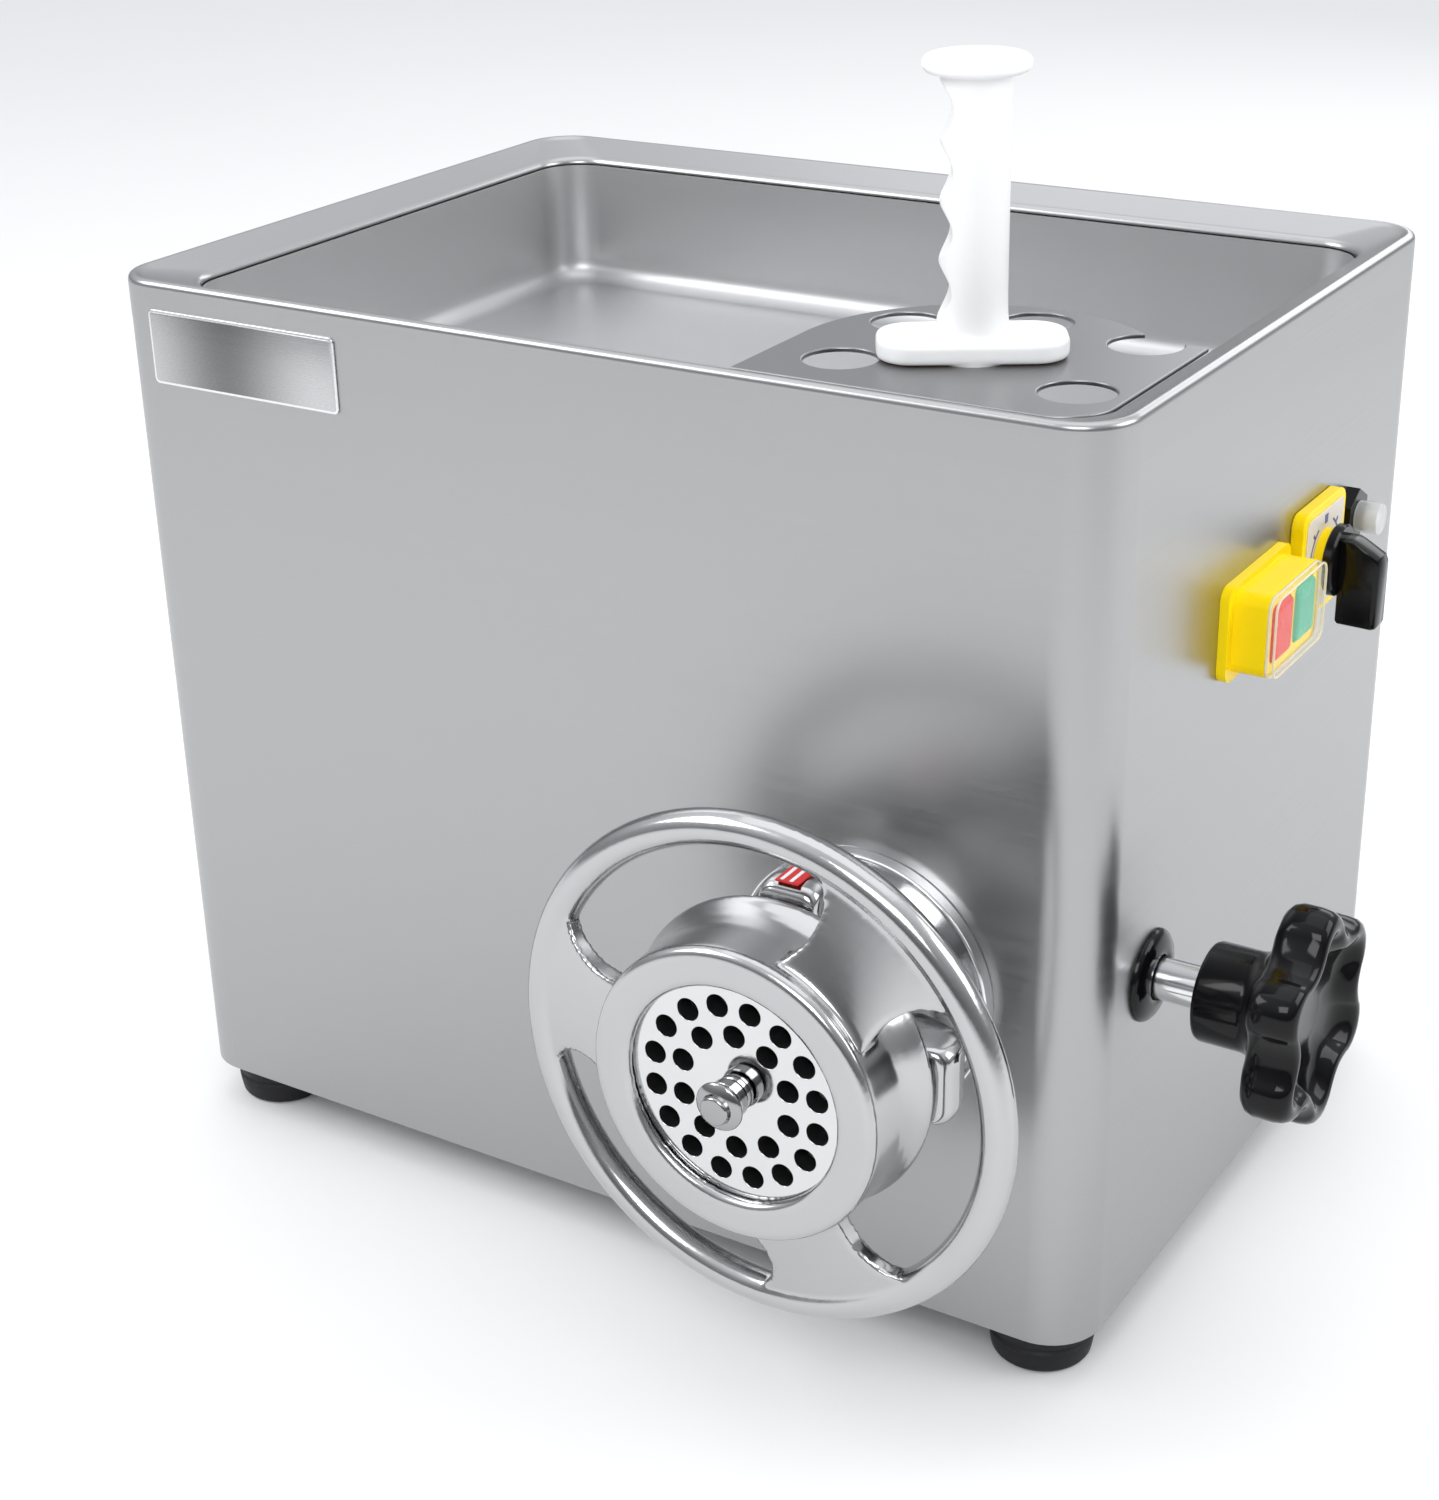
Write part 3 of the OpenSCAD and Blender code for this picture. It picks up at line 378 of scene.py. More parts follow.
def tray():
    """The top tray: rolled rim, sloping edge, basin with coved bottom and the throat's hole."""
    outer = (WALL_LEFT, WALL_RIGHT, WALL_FRONT, WALL_BACK)
    inner = (WALL_LEFT + 20, WALL_RIGHT - 20, WALL_FRONT + 25, WALL_BACK - 20)
    inner_r = 22.0
    bead = 2.8
    corner_steps = 12

    def from_outer(inset, z):
        x0, x1, y0, y1 = outer
        return [(x, y, z) for x, y in rounded_loop(
            x0 + inset, x1 - inset, y0 + inset, y1 - inset, CORNER_R - inset, corner_steps)]

    def from_inner(outset, z):
        x0, x1, y0, y1 = inner
        return [(x, y, z) for x, y in rounded_loop(
            x0 - outset, x1 + outset, y0 - outset, y1 + outset, inner_r + outset, corner_steps)]

    # The upright edge carries the walls' finish over the joint with the casing
    edge = TRAY_TOP - bead
    skirt = [from_outer(-0.06, TRAY_BASE - 4), from_outer(-0.06, edge), from_outer(0.5, edge),
             from_outer(0.5, TRAY_BASE - 4), from_outer(-0.06, TRAY_BASE - 4)]
    build("tray_skirt", *loft(skirt, ends=False), M["satin_wall"], "housing", "satin_steel", (), 60)
    loops = [from_outer(0.3, TRAY_BASE + 0.2), from_outer(0.3, edge - 1), from_outer(0.0, edge - 0.2)]
    loops += [from_outer(bead + x, z) for x, z in arc(0, TRAY_TOP - bead, bead, 180, 60, 8)]
    loops += [from_outer(5.4, TRAY_TOP - 1.2), from_outer(6.6, TRAY_TOP - 1.6)]
    lip = [from_inner(x, z) for x, z in arc(4, TRAY_TOP - 10.5, 4, 90, 180, 5)]
    rim_part = build("tray_rim", *loft(loops + lip, ends=False), M["rim_steel"], "housing", "satin_steel", (), 60)
    sheeted(rim_part)
    loops = [lip[-1], from_inner(0, BASIN_FLOOR + 40), from_inner(0, BASIN_FLOOR + 14)]
    loops += [from_inner(-x, z) for x, z in arc(12, BASIN_FLOOR + 12, 12, 180, 270, 6)]
    verts, faces = loft(loops, ends=False)
    n = len(loops[0])
    start = len(verts) - n
    hole_r = 33.0
    sides = 64
    hole = [(HEAD_X + hole_r * math.cos(2 * math.pi * i / sides), FEED_Y + hole_r * math.sin(2 * math.pi * i / sides),
             BASIN_FLOOR) for i in range(sides)]
    mesh = bpy.data.meshes.new("tray")
    mesh.from_pydata([Vector(v) * MM for v in verts + hole], [], faces)
    bm = bmesh.new()
    bm.from_mesh(mesh)
    bm.verts.ensure_lookup_table()
    rim = [bm.edges.get((bm.verts[start + i], bm.verts[start + (i + 1) % n])) for i in range(n)]
    ring = [bm.edges.new((bm.verts[len(verts) + i], bm.verts[len(verts) + (i + 1) % sides])) for i in range(sides)]
    bmesh.ops.triangle_fill(bm, edges=rim + ring, use_beauty=True)
    bmesh.ops.recalc_face_normals(bm, faces=bm.faces)
    bm.to_mesh(mesh)
    bm.free()
    obj = bpy.data.objects.new("tray_skin", mesh)
    bpy.context.scene.collection.objects.link(obj)
    dress(obj, M["basin_steel"], "housing", "satin_steel", ["top_tray"], 60)
    sheeted(obj)


def housing():
    refined("casing", M["satin_wall"], 0.1, 1)
    tray()
    refined("base_plate", M["satin_top"], 0.4)
    refined("back_panel", M["satin_wall"], 0.4)
    refined("back_panel_screws", M["fasteners"], 0.3)
    nameplate()
    louvres()
    refined("guard_plate", M["guard_steel"], 0.6, 3)
    refined("throat_tube", M["satin_wall"], 0.5)


def painted_reflection_band(mat, centre, half, dark):
    """Paints a dark reflection into a metal's colour along X: fully dark at a centre, fading out over half a width to
    each side.
    """
    nodes, links = mat.node_tree.nodes, mat.node_tree.links
    shader = nodes["Principled BSDF"]
    place = nodes.new("ShaderNodeTexCoord")
    away = nodes.new("ShaderNodeVectorMath")
    away.operation = "DISTANCE"
    away.inputs[1].default_value = (centre * MM, 0, 0)
    flat = nodes.new("ShaderNodeVectorMath")
    flat.operation = "MULTIPLY"
    flat.inputs[1].default_value = (1, 0, 0)
    links.new(place.outputs["Object"], flat.inputs[0])
    links.new(flat.outputs["Vector"], away.inputs[0])
    fade = smooth_range(nodes, 0.0, half * MM, 1.0, 0.0)
    links.new(away.outputs["Value"], fade.inputs["Value"])
    tone = nodes.new("ShaderNodeMix")
    tone.data_type = "RGBA"
    tone.inputs["B"].default_value = (dark, dark, dark, 1)
    links.new(fade.outputs["Result"], tone.inputs["Factor"])
    links.new(shader.inputs["Base Color"].links[0].from_socket, tone.inputs["A"])
    links.new(tone.outputs["Result"], shader.inputs["Base Color"])


def nameplate():
    """A blank satin badge with a bright chamfered border and a dark reflection painted across its face."""
    lo, hi = low("nameplate"), high("nameplate")
    # Painted dark reflection in the badge's colour, darkest 42 mm from its low-x end
    painted_reflection_band(M["badge_silver"], lo.x + 42, 52, 0.17)

    def to(x, z, out):
        return (x, WALL_FRONT - out, z)

    build("nameplate_border", *pillow(lo.x, hi.x, lo.z, hi.z, 0.0, 1.0, 2.5, 0.4, to), M["badge_edge"], "housing",
          "badge_silver", ["nameplate"], 40)
    build("nameplate_face", *pillow(lo.x + 1.2, hi.x - 1.2, lo.z + 1.2, hi.z - 1.2, 0.5, 1.25, 1.6, 0.25, to),
          M["badge_silver"], "housing", "badge_silver", (), 40)


def louvres():
    """Pressed hoods over the ventilation slots of the back panel."""
    parts = []
    column_pitch, row_pitch = 90, 16
    half_length, hood_reach, hood_drop = 35, 4.2, 6.2
    stations = 12
    swell = (0, 22, 45, 68, 90)
    n = len(swell)
    middle_x = (WALL_LEFT + WALL_RIGHT) / 2
    for column in (-1, 0, 1):
        for row in range(8):
            x = middle_x + column * column_pitch
            z = WALL_BASE + 75.2 + row * row_pitch
            rows = []
            for k in range(stations + 1):
                u = -1 + 2 * k / stations
                reach = hood_reach * max(0.0, 1 - abs(u) ** 4) ** 0.5
                drop = hood_drop * (0.3 + 0.7 * reach / hood_reach)
                rows.append([(x + u * half_length, WALL_BACK + 0.05 + reach * math.sin(math.radians(a)),
                              z + 0.6 - drop * (1 - math.cos(math.radians(a)))) for a in swell])
            verts = [p for r in rows for p in r]
            faces = [[k * n + i, k * n + i + 1, (k + 1) * n + i + 1, (k + 1) * n + i]
                     for k in range(stations) for i in range(n - 1)]
            parts.append((verts, faces))
    obj = build("back_louvres", *join_parts(parts), M["satin_wall"], "housing", "satin_steel", (), 60)
    sheet = obj.modifiers.new("sheet", "SOLIDIFY")
    sheet.thickness = 0.8 * MM


def feet():
    """Turned rubber feet with a moulded rib."""
    lo, hi = low("rubber_feet"), high("rubber_feet")
    r = 22.5
    height = hi.z
    profile = [(7, 0.0), (r - 4, 0.0)] + arc(r - 4, 3, 3, -90, 0, 4)[1:] + [(r - 0.2, 8)]
    profile += arc(r - 0.8, 10, 0.8, -60, 60, 3) + [(r - 0.9, 11.6), (r - 0.3, 13)]
    profile += arc(r - 3, height - 3, 3, 0, 90, 5) + [(3, height), (3, 10), (7, 10)]
    parts = []
    for x in (lo.x + r, hi.x - r):
        for y in (lo.y + r, hi.y - r):
            parts.append(lathe_grid(profile, 64, upright(x, y)))
    build("rubber_foot_set", *join_parts(parts), M["black_rubber"], "housing", "black_rubber", ["rubber_feet"])
    refined("foot_screws", M["fasteners"], 0.3)


# ---- grinding head ----

WEB_ANGLES = (172, 52, -68)
PLATE_R = (high("perforated_plate").x - low("perforated_plate").x) / 2
INSERT_R = (high("ring_nut").x - low("ring_nut").x) / 2
THREAD_R = INSERT_R - 3
HUB_R = INSERT_R + 5
LIP_R = PLATE_R - 4.5
HUB_BACK = 66.0
HUB_FRONT = 106.0
RIM_TUBE = 7.0
RIM_S = 82.0
RIM_R = (high("handwheel").x - low("handwheel").x) / 2 - RIM_TUBE
EAR_REACH = high("barrel").z - HEAD_Z


def handwheel():
    """Polished ring nut with three dished webs and a round rim, as one casting."""
    plate_front, insert_front = 101.4, 98.0
    hub = [(INSERT_R + 0.1, HUB_BACK), (HUB_R + 3.4, HUB_BACK), (HUB_R + 4.2, HUB_BACK + 1)]
    hub += [(HUB_R + x, z) for x, z in ((4.0, HUB_BACK + 3), (2.4, HUB_BACK + 7), (0.9, HUB_BACK + 12),
                                        (0, HUB_BACK + 18))]
    hub += arc(HUB_R - 4, HUB_FRONT - 4, 4, 0, 90, 8)
    hub += [(LIP_R + 3, HUB_FRONT), (LIP_R + 1.4, HUB_FRONT - 0.6), (LIP_R + 0.3, HUB_FRONT - 2),
            (LIP_R, HUB_FRONT - 3.2), (LIP_R, plate_front), (PLATE_R + 1, plate_front),
            (PLATE_R + 1, insert_front), (INSERT_R + 0.1, insert_front)]
    parts = [lathe_grid(hub, 160, on_head)]
    rim = arc(RIM_R, RIM_S, RIM_TUBE, 0, 360, 20)[:-1]
    parts.append(lathe_grid(rim, 160, on_head))
    for centre in WEB_ANGLES:
        parts.append(web(centre))
    obj = build("handwheel_casting", *join_parts(parts), M["polished_casting"], "handwheel", "polished_casting",
                ["handwheel"], 50)
    remeshed(obj, 1.1, 4)


def web(centre):
    """A dished arm between hub and rim, wider at both ends where it blends into them."""
    stations = 18
    across = 12
    start = HUB_R - 4
    loops = []
    for k in range(stations + 1):
        t = k / stations
        r = start + (RIM_R - start) * t
        half = 16.0 + 9.0 * abs(2 * t - 1) ** 2.4
        front = 101.5 - 15.5 * t ** 0.75
        back = front - 9.0 + 1.5 * t
        loop = []
        for i in range(across + 1):
            loop.append(on_head(r, math.radians(centre + half * (2 * i / across - 1)), front))
        for i in range(across, -1, -1):
            loop.append(on_head(r, math.radians(centre + half * (2 * i / across - 1)), back))
        loops.append(loop)
    return loft(loops)


def barrel():
    """The head's barrel with its four ears, as one polished casting."""
    back, inner_back, mouth = -131.5, -121.5, 97
    plate_seat, knife_seat = 92, 79
    outside = [(43.9, back), (44.0, -128), (44.0, 38), (44.6, 43), (46.4, 48), (50.4, 54), (52.8, 59),
               (THREAD_R, 62.5), (THREAD_R, 96), (THREAD_R - 0.8, mouth)]
    seat_r, knife_r, auger_r, shaft_r = PLATE_R + 0.1, 42, 32, 12.1
    inside = [(seat_r, mouth), (seat_r, plate_seat), (knife_r, plate_seat), (knife_r, knife_seat),
              (auger_r, knife_seat), (auger_r, inner_back), (shaft_r, inner_back), (shaft_r, back)]
    build("barrel_casting", *lathe_grid(outside + inside, 128, on_head), M["polished_casting"], "barrel",
          "polished_casting", ["barrel"], 40)
    parts = [ear(angle, half) for angle, half in ((90, 13), (0, 17), (180, 17), (270, 13))]
    ears = build("barrel_ears", *join_parts(parts), M["polished_casting"], "barrel", "polished_casting", (), 50)
    remeshed(ears, 0.9, 10)
    parts = []
    for x in (-3.4, 0.6):
        parts.append(pillow(HEAD_X + x, HEAD_X + x + 1.5, WALL_FRONT - 61, WALL_FRONT - 49, HEAD_Z + EAR_REACH,
                            HEAD_Z + EAR_REACH + 0.95, 0.5, 0.1, lambda x, y, z: (x, y, z), 3))
    build("mark_stripes", *join_parts(parts), M["white_plastic"], "barrel", "white_plastic", (), 40)
    # The walls of the plate's holes are painted nearly black: painted shade for the dark inside of the head behind
    # the plate
    walls = []
    hole_r = 4.65
    profile = [(hole_r, plate_seat + 0.2), (hole_r, 100.4)]
    for count, ring_r in ((16, 36.0), (10, 24.0)):
        for i in range(count):
            a = 2 * math.pi * (i + 0.5) / count
            cx, cz = HEAD_X + ring_r * math.cos(a), HEAD_Z - ring_r * math.sin(a)
            walls.append(lathe_grid(profile, 28, lambda r, t, s, cx=cx, cz=cz: (
                cx + r * math.cos(t), WALL_FRONT - s, cz + r * math.sin(t)), closed=False))
    build("plate_hole_walls", *join_parts(walls), M["painted_hole_shade"], "barrel", "bright_steel", (), 40)


def ear(angle, width):
    """A rounded boss on the barrel's shoulder."""
    loops = []
    root = 38
    top = EAR_REACH
    for s, reach, half in ((36, top - 21, width - 3), (39, top - 12, width - 1.5), (43, top - 5, width - 0.5),
                           (48, top - 1.2, width), (55, top, width), (60, top - 0.6, width),
                           (63, top - 3, width - 1), (64, top - 8, width - 2.5)):
        loop = []
        for x, y in rounded_loop(-half, half, root, reach, min(7.5, half / 2, (reach - root) / 2 - 0.2), 6):
            t = math.radians(angle) + math.atan2(x, y)
            loop.append(on_head(math.hypot(x, y), t, s))
        loops.append(loop)
    return loft(loops)


def stud():
    """The auger's stud: a collar at the plate, a grooved neck and a button end."""
    profile = [(0, 60), (7.2, 60), (7.2, 101.2), (7.2, 102.4), (6.8, 102.8), (5.6, 103), (5.6, 104.2), (7.6, 104.4),
               (8.0, 104.8), (8.0, 108.4), (7.6, 108.8), (6.2, 109), (6.2, 110.6), (8.8, 110.8)]
    profile += arc(9.0, 112.0, 1.0, -60, 60, 5) + [(8.4, 113.6), (7.0, 114.2), (6.4, 114.4), (6.0, 115.6)]
    profile += arc(4.6, 115.6, 1.3, 0, 80, 4) + [(0, 117)]
    build("stud_turned", *lathe_grid(profile, 64, on_head, closed=False), M["stud_chrome"], "auger", "bright_steel",
          ["auger_stud", "stud_cap"], 30)


def head():
    handwheel()
    barrel()
    stud()
    # The ring nut, auger and knife get steel darkened as painted shade
    refined("ring_nut", M["shade_darkened_steel"], 0.5)
    refined("perforated_plate", M["plate_steel"], 0.8, 2)
    refined("auger", M["shade_darkened_steel"], 0.3)
    refined("knife", M["shade_darkened_steel"], 0.4)
    refined("plate_key", M["bright_steel"], 0.3)
    refined("barrel_mark", M["red_paint"], 0.3)
    refined("front_flange", M["bright_steel"], 0.6, 3)
    refined("locating_pin", M["bright_steel"], 1.2, 3)
    refined("head_socket", M["cast_aluminium"], 0.8)


# ---- clamp ----

def clamp_knob():
    """Six-lobed glossy knob with a dished front and a round hub."""
    lobes = 6
    segments = 240
    reach = KNOB_FRONT - WALL_RIGHT
    crest = (high("clamp_knob").z - low("clamp_knob").z) / 2
    mean, swing = crest - 5.2, 5.2
    hub_r, bore_r = 20.5, 8.8
    bore_end = reach - 17.7

    def lobed(angle, scale):
        c = math.cos(lobes * angle + math.pi)
        return (mean + swing * math.copysign(abs(c) ** 0.8, c)) * scale

    # (share of lobed outline or None, plain radius, distance out of the wall)
    rings = [(None, bore_r, 25.0), (None, hub_r - 2, 25.0), (None, hub_r - 0.6, 25.6), (None, hub_r, 27.0),
             (None, hub_r, 44.0), (None, hub_r + 0.8, 47.5), (None, hub_r + 3.5, 50.0), (0.68, None, 52.2),
             (0.82, None, 53.2), (0.92, None, 54.6), (0.975, None, 56.8), (1.0, None, 60.0), (1.0, None, reach - 7),
             (0.985, None, reach - 3.6), (0.955, None, reach - 1.5), (0.91, None, reach - 0.3),
             (0.86, None, reach), (0.81, None, reach - 0.8), (0.77, None, reach - 2.6), (0.72, None, reach - 6.0),
             (None, 22, reach - 8.4), (None, 12, reach - 9), (None, 0, reach - 9)]
    verts, faces = [], []
    count = len(rings)
    for i in range(segments):
        angle = 2 * math.pi * i / segments
        for share, plain, x in rings:
            r = plain if share is None else lobed(angle, share)
            verts.append(on_clamp(r, angle, x))
    for i in range(segments):
        j = (i + 1) % segments
        for k in range(count - 1):
            faces.append([i * count + k, i * count + k + 1, j * count + k + 1, j * count + k])
    # The bore for the shaft
    inner = len(verts)
    for i in range(segments):
        verts.append(on_clamp(bore_r, 2 * math.pi * i / segments, bore_end))
    for i in range(segments):
        j = (i + 1) % segments
        faces.append([i * count, j * count, inner + j, inner + i])
    faces.append([inner + i for i in range(segments)])
    build("clamp_knob_star", verts, faces, M["black_plastic"], "clamp_knob", "black_plastic", ["clamp_knob"], 50)


def clamp():
    clamp_knob()
    refined("clamp_shaft", M["bright_steel"], 1.0, 3)
    profile = [(9.2, 0.0), (19.5, 0.0), (19.5, 0.8), (18.9, 2.0), (17.4, 3.2), (15.0, 4.1), (12.4, 4.7),
               (10.6, 4.9), (9.6, 4.6), (9.2, 3.8)]
    build("grommet_dome", *lathe_grid(profile, 96, on_clamp), M["black_plastic"], "housing", "black_rubber",
          ["shaft_grommet"], 50)
    refined("clamp_bush", M["bronze"], 0.4)


# ---- feed ----

def pusher():
    """White pusher: round grip with four finger notches, disc on top, slab foot and plunger."""
    foot_t, disc_t = 9.0, 6.5
    grip_r = 13.5
    turn = math.radians(30)
    low_z = GUARD_TOP + foot_t - 2
    high_z = PUSHER_TOP - disc_t + 2
    notch_top = PUSHER_TOP - 20
    pitch = 23.0
    depth = 4.7
    notches = 4
    steps, sides = 160, 96

    def at(x, y, z):
        return (HEAD_X + x * math.cos(turn) - y * math.sin(turn), FEED_Y + x * math.sin(turn) + y * math.cos(turn), z)

    rings = []
    for k in range(steps + 1):
        z = low_z + (high_z - low_z) * k / steps
        bite = 0.0
        for i in range(notches):
            u = abs(z - (notch_top - i * pitch)) / (pitch * 0.46)
            if u < 1:
                bite = max(bite, depth * math.cos(u * math.pi / 2) ** 1.1)
        flare = 3.0 * math.exp(-(z - low_z) / 4.0) + 1.5 * math.exp(-(high_z - z) / 3.5)
        ring = []
        for i in range(sides):
            a = 2 * math.pi * i / sides
            x, y = (grip_r + flare) * math.cos(a), (grip_r + flare) * math.sin(a)
            ring.append(at(max(x, -(grip_r + flare - bite)), y, z))
        rings.append(ring)
    disc_r = 21.0
    top = [(0, PUSHER_TOP - disc_t), (17, PUSHER_TOP - disc_t)]
    top += arc(disc_r - disc_t / 2, PUSHER_TOP - disc_t / 2, disc_t / 2, -90, 90, 10)
    top += [(12, PUSHER_TOP), (0, PUSHER_TOP)]
    base = low("pusher").z
    plunger_r = 17.5
    plunger = [(0, base), (plunger_r - 3, base), (plunger_r - 0.8, base + 1.2), (plunger_r, base + 3.5),
               (plunger_r, GUARD_TOP + 1), (0, GUARD_TOP + 1)]
    slab = pillow(-37.5, 37.5, -18.2, 18.2, GUARD_TOP + 0.3, GUARD_TOP + foot_t, 14, 2.2, at)
    parts = [loft(rings), lathe_grid(top, 72, upright(HEAD_X, FEED_Y), closed=False),
             lathe_grid(plunger, 72, upright(HEAD_X, FEED_Y), closed=False), slab]
    obj = build("pusher_body", *join_parts(parts), M["white_plastic"], "pusher", "white_plastic", ["pusher"], 50)
    remeshed(obj, 0.75, 8)


# ---- controls ----

def controls():
    refined("switch_base", M["yellow_plastic"], 1.2, 3)
    refined("off_button", M["red_plastic"], 2.2, 3)
    refined("on_button", M["green_plastic"], 2.2, 3)
    refined("switch_cover", M["clear_cover"], 0.6, 3)
    cover_edge()
    refined("selector_plate", M["yellow_plastic"], 1.6, 3)
    refined("selector_label", M["label_white"], 0.15)
    label_marks()
    handle()
    refined("reset_switch", M["black_plastic"], 0.8, 3)
    refined("reset_plunger", M["white_plastic"], 0.4)
    refined("reset_boot", M["clear_boot"], 1.0, 3)
    refined("switch_contacts", M["black_plastic"], 0.5)
    refined("selector_switch", M["black_plastic"], 0.5)


def cover_edge():
    """The thicker rim of the clear cover, round its face and its foot."""
    lo, hi = low("switch_cover"), high("switch_cover")
    sides = 6
    parts = []
    for out, tube, inset in ((hi.x - 0.55, 0.55, 0.5), (lo.x + 0.7, 0.7, 0.2)):
        loop = rounded_loop(lo.y + inset, hi.y - inset, lo.z + inset, hi.z - inset, 5.5, 8)
        n = len(loop)
        cy, cz = (lo.y + hi.y) / 2, (lo.z + hi.z) / 2
        verts, faces = [], []
        for y, z in loop:
            away = Vector((y - cy, z - cz)).normalized()
            for a in range(0, 360, 360 // sides):
                c, s = math.cos(math.radians(a)), math.sin(math.radians(a))
                verts.append((out + tube * s, y + away.x * tube * (c - 0.6), z + away.y * tube * (c - 0.6)))
        for i in range(n):
            for k in range(sides):
                j, m = (i + 1) % n, (k + 1) % sides
                faces.append([i * sides + k, i * sides + m, j * sides + m, j * sides + k])
        parts.append((verts, faces))
    build("cover_edge", *join_parts(parts), M["cover_edge"], "housing", "clear_cover", (), 60)


def label_marks():
    """Arc marks and a pointer line on the selector's label."""
    centre = middle("selector_label")
    face = high("selector_label").x
    parts = []
    # First and last angle, inner and outer radius of each mark
    for a0, a1, r0, r1 in ((120, 165, 16.5, 17.6), (15, 60, 16.5, 17.6), (84, 96, 15.5, 19.5), (134, 138, 17.5, 20),
                           (42, 46, 17.5, 20)):
        verts, faces = [], []
        steps = 10
        for i in range(steps + 1):
            a = math.radians(a0 + (a1 - a0) * i / steps)
            for r, out in ((r0, -0.05), (r0, 0.08), (r1, 0.08), (r1, -0.05)):
                verts.append((face + out, centre.y + r * math.cos(a), centre.z + r * math.sin(a)))
        for i in range(steps):
            for k in range(4):
                faces.append([i * 4 + k, i * 4 + (k + 1) % 4, i * 4 + 4 + (k + 1) % 4, i * 4 + 4 + k])
        faces += [[0, 1, 2, 3], [steps * 4 + 3, steps * 4 + 2, steps * 4 + 1, steps * 4]]
        parts.append((verts, faces))
    build("label_marks", *join_parts(parts), M["label_ink"], "housing", "label_white", (), 30)


def handle():
    """Block lever on a round disc, with a bevelled top and a small hole in its end."""
    lo, hi = low("selector_handle"), high("selector_handle")
    centre = middle("selector_label")

    def place(r, a, x):
        return (x, centre.y + r * math.cos(a), centre.z + r * math.sin(a))

    disc_r = 15.5
    start = WALL_RIGHT + 10.8
    disc = [(0, start), (disc_r - 0.5, start), (disc_r, start + 0.6), (disc_r, start + 3.6),
            (disc_r - 0.9, start + 4.5), (0, start + 4.5)]
    stem = [(0, lo.x), (5, lo.x), (5, start + 1), (0, start + 1)]
    bottom = lo.z
    top = centre.z + 11
    outline = [(start + 4.2, bottom + 1.5), (start + 5.2, bottom + 0.3), (hi.x - 2, bottom),
               (hi.x - 0.4, bottom + 0.6), (hi.x, bottom + 2), (hi.x, top - 9), (hi.x - 1.2, top - 6.2),
               (start + 11, top - 0.8), (start + 9, top), (start + 4.2, top)]
    half = 6.0
    cx = sum(p[0] for p in outline) / len(outline)
    cz = sum(p[1] for p in outline) / len(outline)
    loops = []
    for inset, y in ((1.2, -half), (0.35, -half + 0.35), (0.0, -half + 1.2), (0.0, half - 1.2), (0.35, half - 0.35),
                     (1.2, half)):
        loops.append([(x + inset * (1 if x < cx else -1), centre.y + y, z + inset * (1 if z < cz else -1))
                      for x, z in outline])
    parts = [lathe_grid(disc, 72, place, closed=False), lathe_grid(stem, 32, place, closed=False), loft(loops)]
    build("selector_lever", *join_parts(parts), M["black_plastic"], "selector_handle", "black_plastic",
          ["selector_handle"], 30)

    def near_end(r, a, x):
        return (x, centre.y + r * math.cos(a), top - 14 + r * math.sin(a))

    # The hole in the lever's end is a shallow pit painted dark: painted shade for its depth
    pit = [(0.0, hi.x + 0.04), (1.5, hi.x + 0.04), (1.7, hi.x + 0.02), (1.9, hi.x - 0.3)]
    build("lever_hole", *lathe_grid(pit, 24, near_end, closed=False), M["painted_hole_shade"], "selector_handle",
          "black_plastic", (), 60)


# ---- nodes carried over from the frame ----

def carried_over():
    """Every node gets a finished material, so the ones that no piece replaces show their own mesh with it."""
    for name, node in NODES.items():
        slot = SLOT_OF[name]
        node.data.materials.clear()
        # Parts inside the head get the steel darkened as painted shade
        finish_or_shade = "satin_top" if name in TOP_GRAIN else "shade_darkened_steel" if name in PAINTED_SHADE_PARTS else slot
        node.data.materials.append(M[finish_or_shade])


# ---- stage ----

def add_floor():
    """A pale floor just under the feet."""
    bm = bmesh.new()
    bmesh.ops.create_grid(bm, x_segments=8, y_segments=8, size=9)
    mesh = bpy.data.meshes.new("floor")
    bm.to_mesh(mesh)
    bm.free()
    floor = bpy.data.objects.new("floor", mesh)
    floor.location = (0, 0, -0.0002)
    floor.data.materials.append(material("floor_paint", (0.8, 0.8, 0.8), 0.6, 0.0, 0.01, 0.02, (3, 3, 3)))
    bpy.context.scene.collection.objects.link(floor)


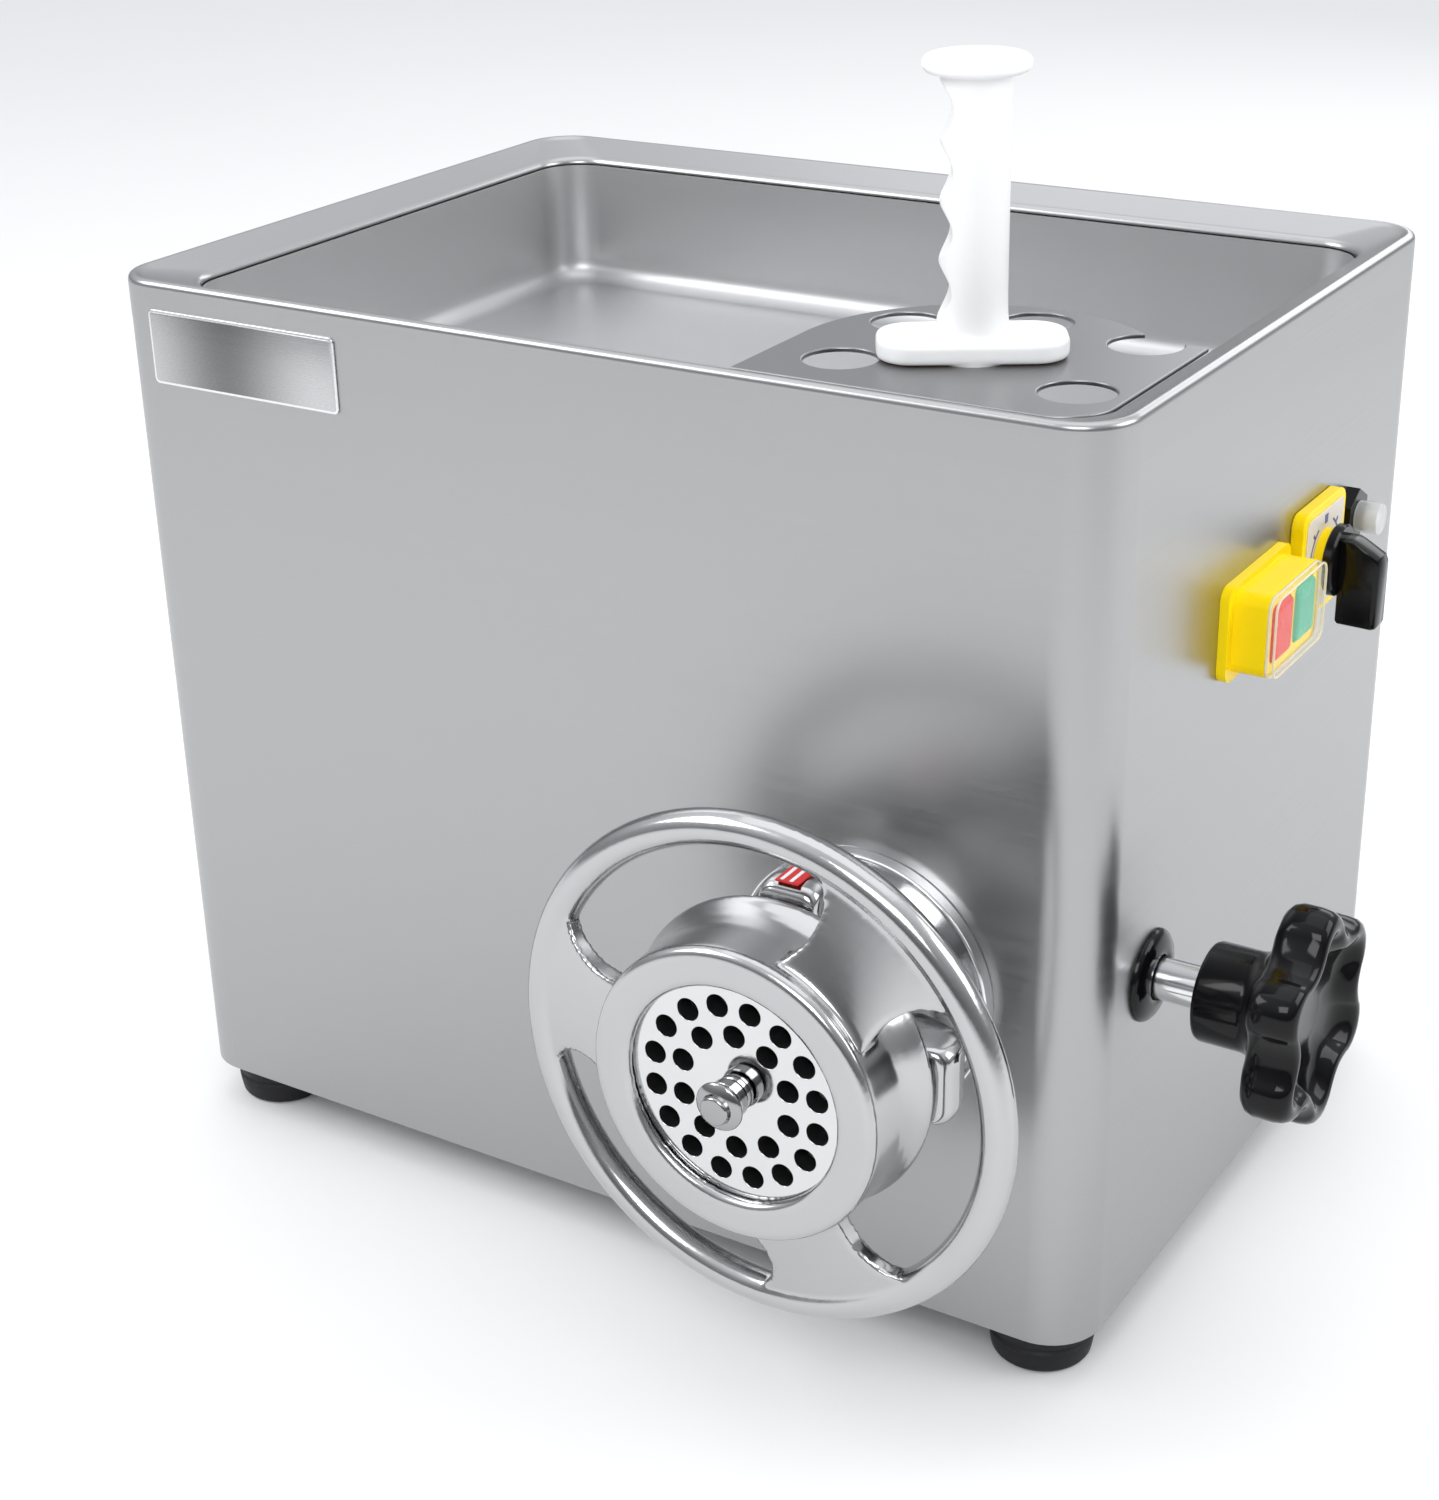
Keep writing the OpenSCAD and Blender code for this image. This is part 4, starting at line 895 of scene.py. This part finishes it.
def add_world():
    """Soft light from all round: bright overhead, dimmer at the horizon, dimmest at the front right."""
    world = bpy.data.worlds.new("studio")
    bpy.context.scene.world = world
    world.use_nodes = True
    nodes, links = world.node_tree.nodes, world.node_tree.links
    place = nodes.new("ShaderNodeTexCoord")
    axes = nodes.new("ShaderNodeSeparateXYZ")
    links.new(place.outputs["Generated"], axes.inputs["Vector"])
    height = smooth_range(nodes, 0.0, 0.75, 0.42, 1.2)
    links.new(axes.outputs["Z"], height.inputs["Value"])
    side = smooth_range(nodes, 0.0, 1.0, 1.0, 0.5)
    lean = nodes.new("ShaderNodeVectorMath")
    lean.operation = "DOT_PRODUCT"
    lean.inputs[1].default_value = (0.6, -0.8, 0.0)
    links.new(place.outputs["Generated"], lean.inputs[0])
    links.new(lean.outputs["Value"], side.inputs["Value"])
    strength = nodes.new("ShaderNodeMath")
    strength.operation = "MULTIPLY"
    links.new(height.outputs["Result"], strength.inputs[0])
    links.new(side.outputs["Result"], strength.inputs[1])
    links.new(strength.outputs["Value"], nodes["Background"].inputs["Strength"])
    nodes["Background"].inputs["Color"].default_value = (0.95, 0.97, 1.0, 1)
    bpy.context.scene.view_settings.view_transform = "Standard"


def area(name, place, target, size, power):
    """A rectangular soft light that faces a target."""
    data = bpy.data.lights.new(name, "AREA")
    data.shape = "RECTANGLE"
    data.size, data.size_y = size
    data.energy = power
    light = bpy.data.objects.new(name, data)
    light.location = place
    light.rotation_mode = "QUATERNION"
    light.rotation_quaternion = (Vector(target) - Vector(place)).to_track_quat("-Z", "Y")
    bpy.context.scene.collection.objects.link(light)


def add_lights():
    area("key", (-1.7, -1.3, 1.9), (-0.4, -0.5, 0.0), (1.4, 1.2), 26)
    area("right", (1.7, 0.6, 1.2), (0.45, 0.1, 0.0), (1.2, 1.0), 13)
    area("front", (0.7, -1.7, 1.5), (0.3, -0.35, 0.0), (1.2, 0.8), 17)
    area("top", (0.0, 0.3, 2.4), (0, 0.1, 0.3), (2.6, 2.2), 11)
    area("rim", (0.2, 2.6, 1.4), (0, 0, 0.3), (2.2, 0.8), 12)


def add_camera():
    """Front right, looking down, with a slight roll."""
    data = bpy.data.cameras.new("camera")
    camera = bpy.data.objects.new("camera", data)
    bpy.context.scene.collection.objects.link(camera)
    data.sensor_width = 36.0
    data.lens = 62.4
    data.clip_start, data.clip_end = 0.05, 60
    azimuth, elevation, roll = math.radians(32.55), math.radians(24.66), math.radians(-1.43)
    ahead = Vector((-math.sin(azimuth) * math.cos(elevation), math.cos(azimuth) * math.cos(elevation),
                    -math.sin(elevation)))
    level = Vector((math.cos(azimuth), math.sin(azimuth), 0))
    up = level.cross(ahead)
    right = level * math.cos(roll) + up * math.sin(roll)
    top = up * math.cos(roll) - level * math.sin(roll)
    camera.matrix_world = Matrix((right, top, -ahead)).transposed().to_4x4()
    camera.location = (0.5462, -0.9117, 0.6948)
    bpy.context.scene.camera = camera


def stage():
    add_floor()
    add_world()
    add_lights()
    add_camera()


stage()
carried_over()
housing()
feet()
head()
clamp()
pusher()
controls()

bpy.context.view_layer.update()
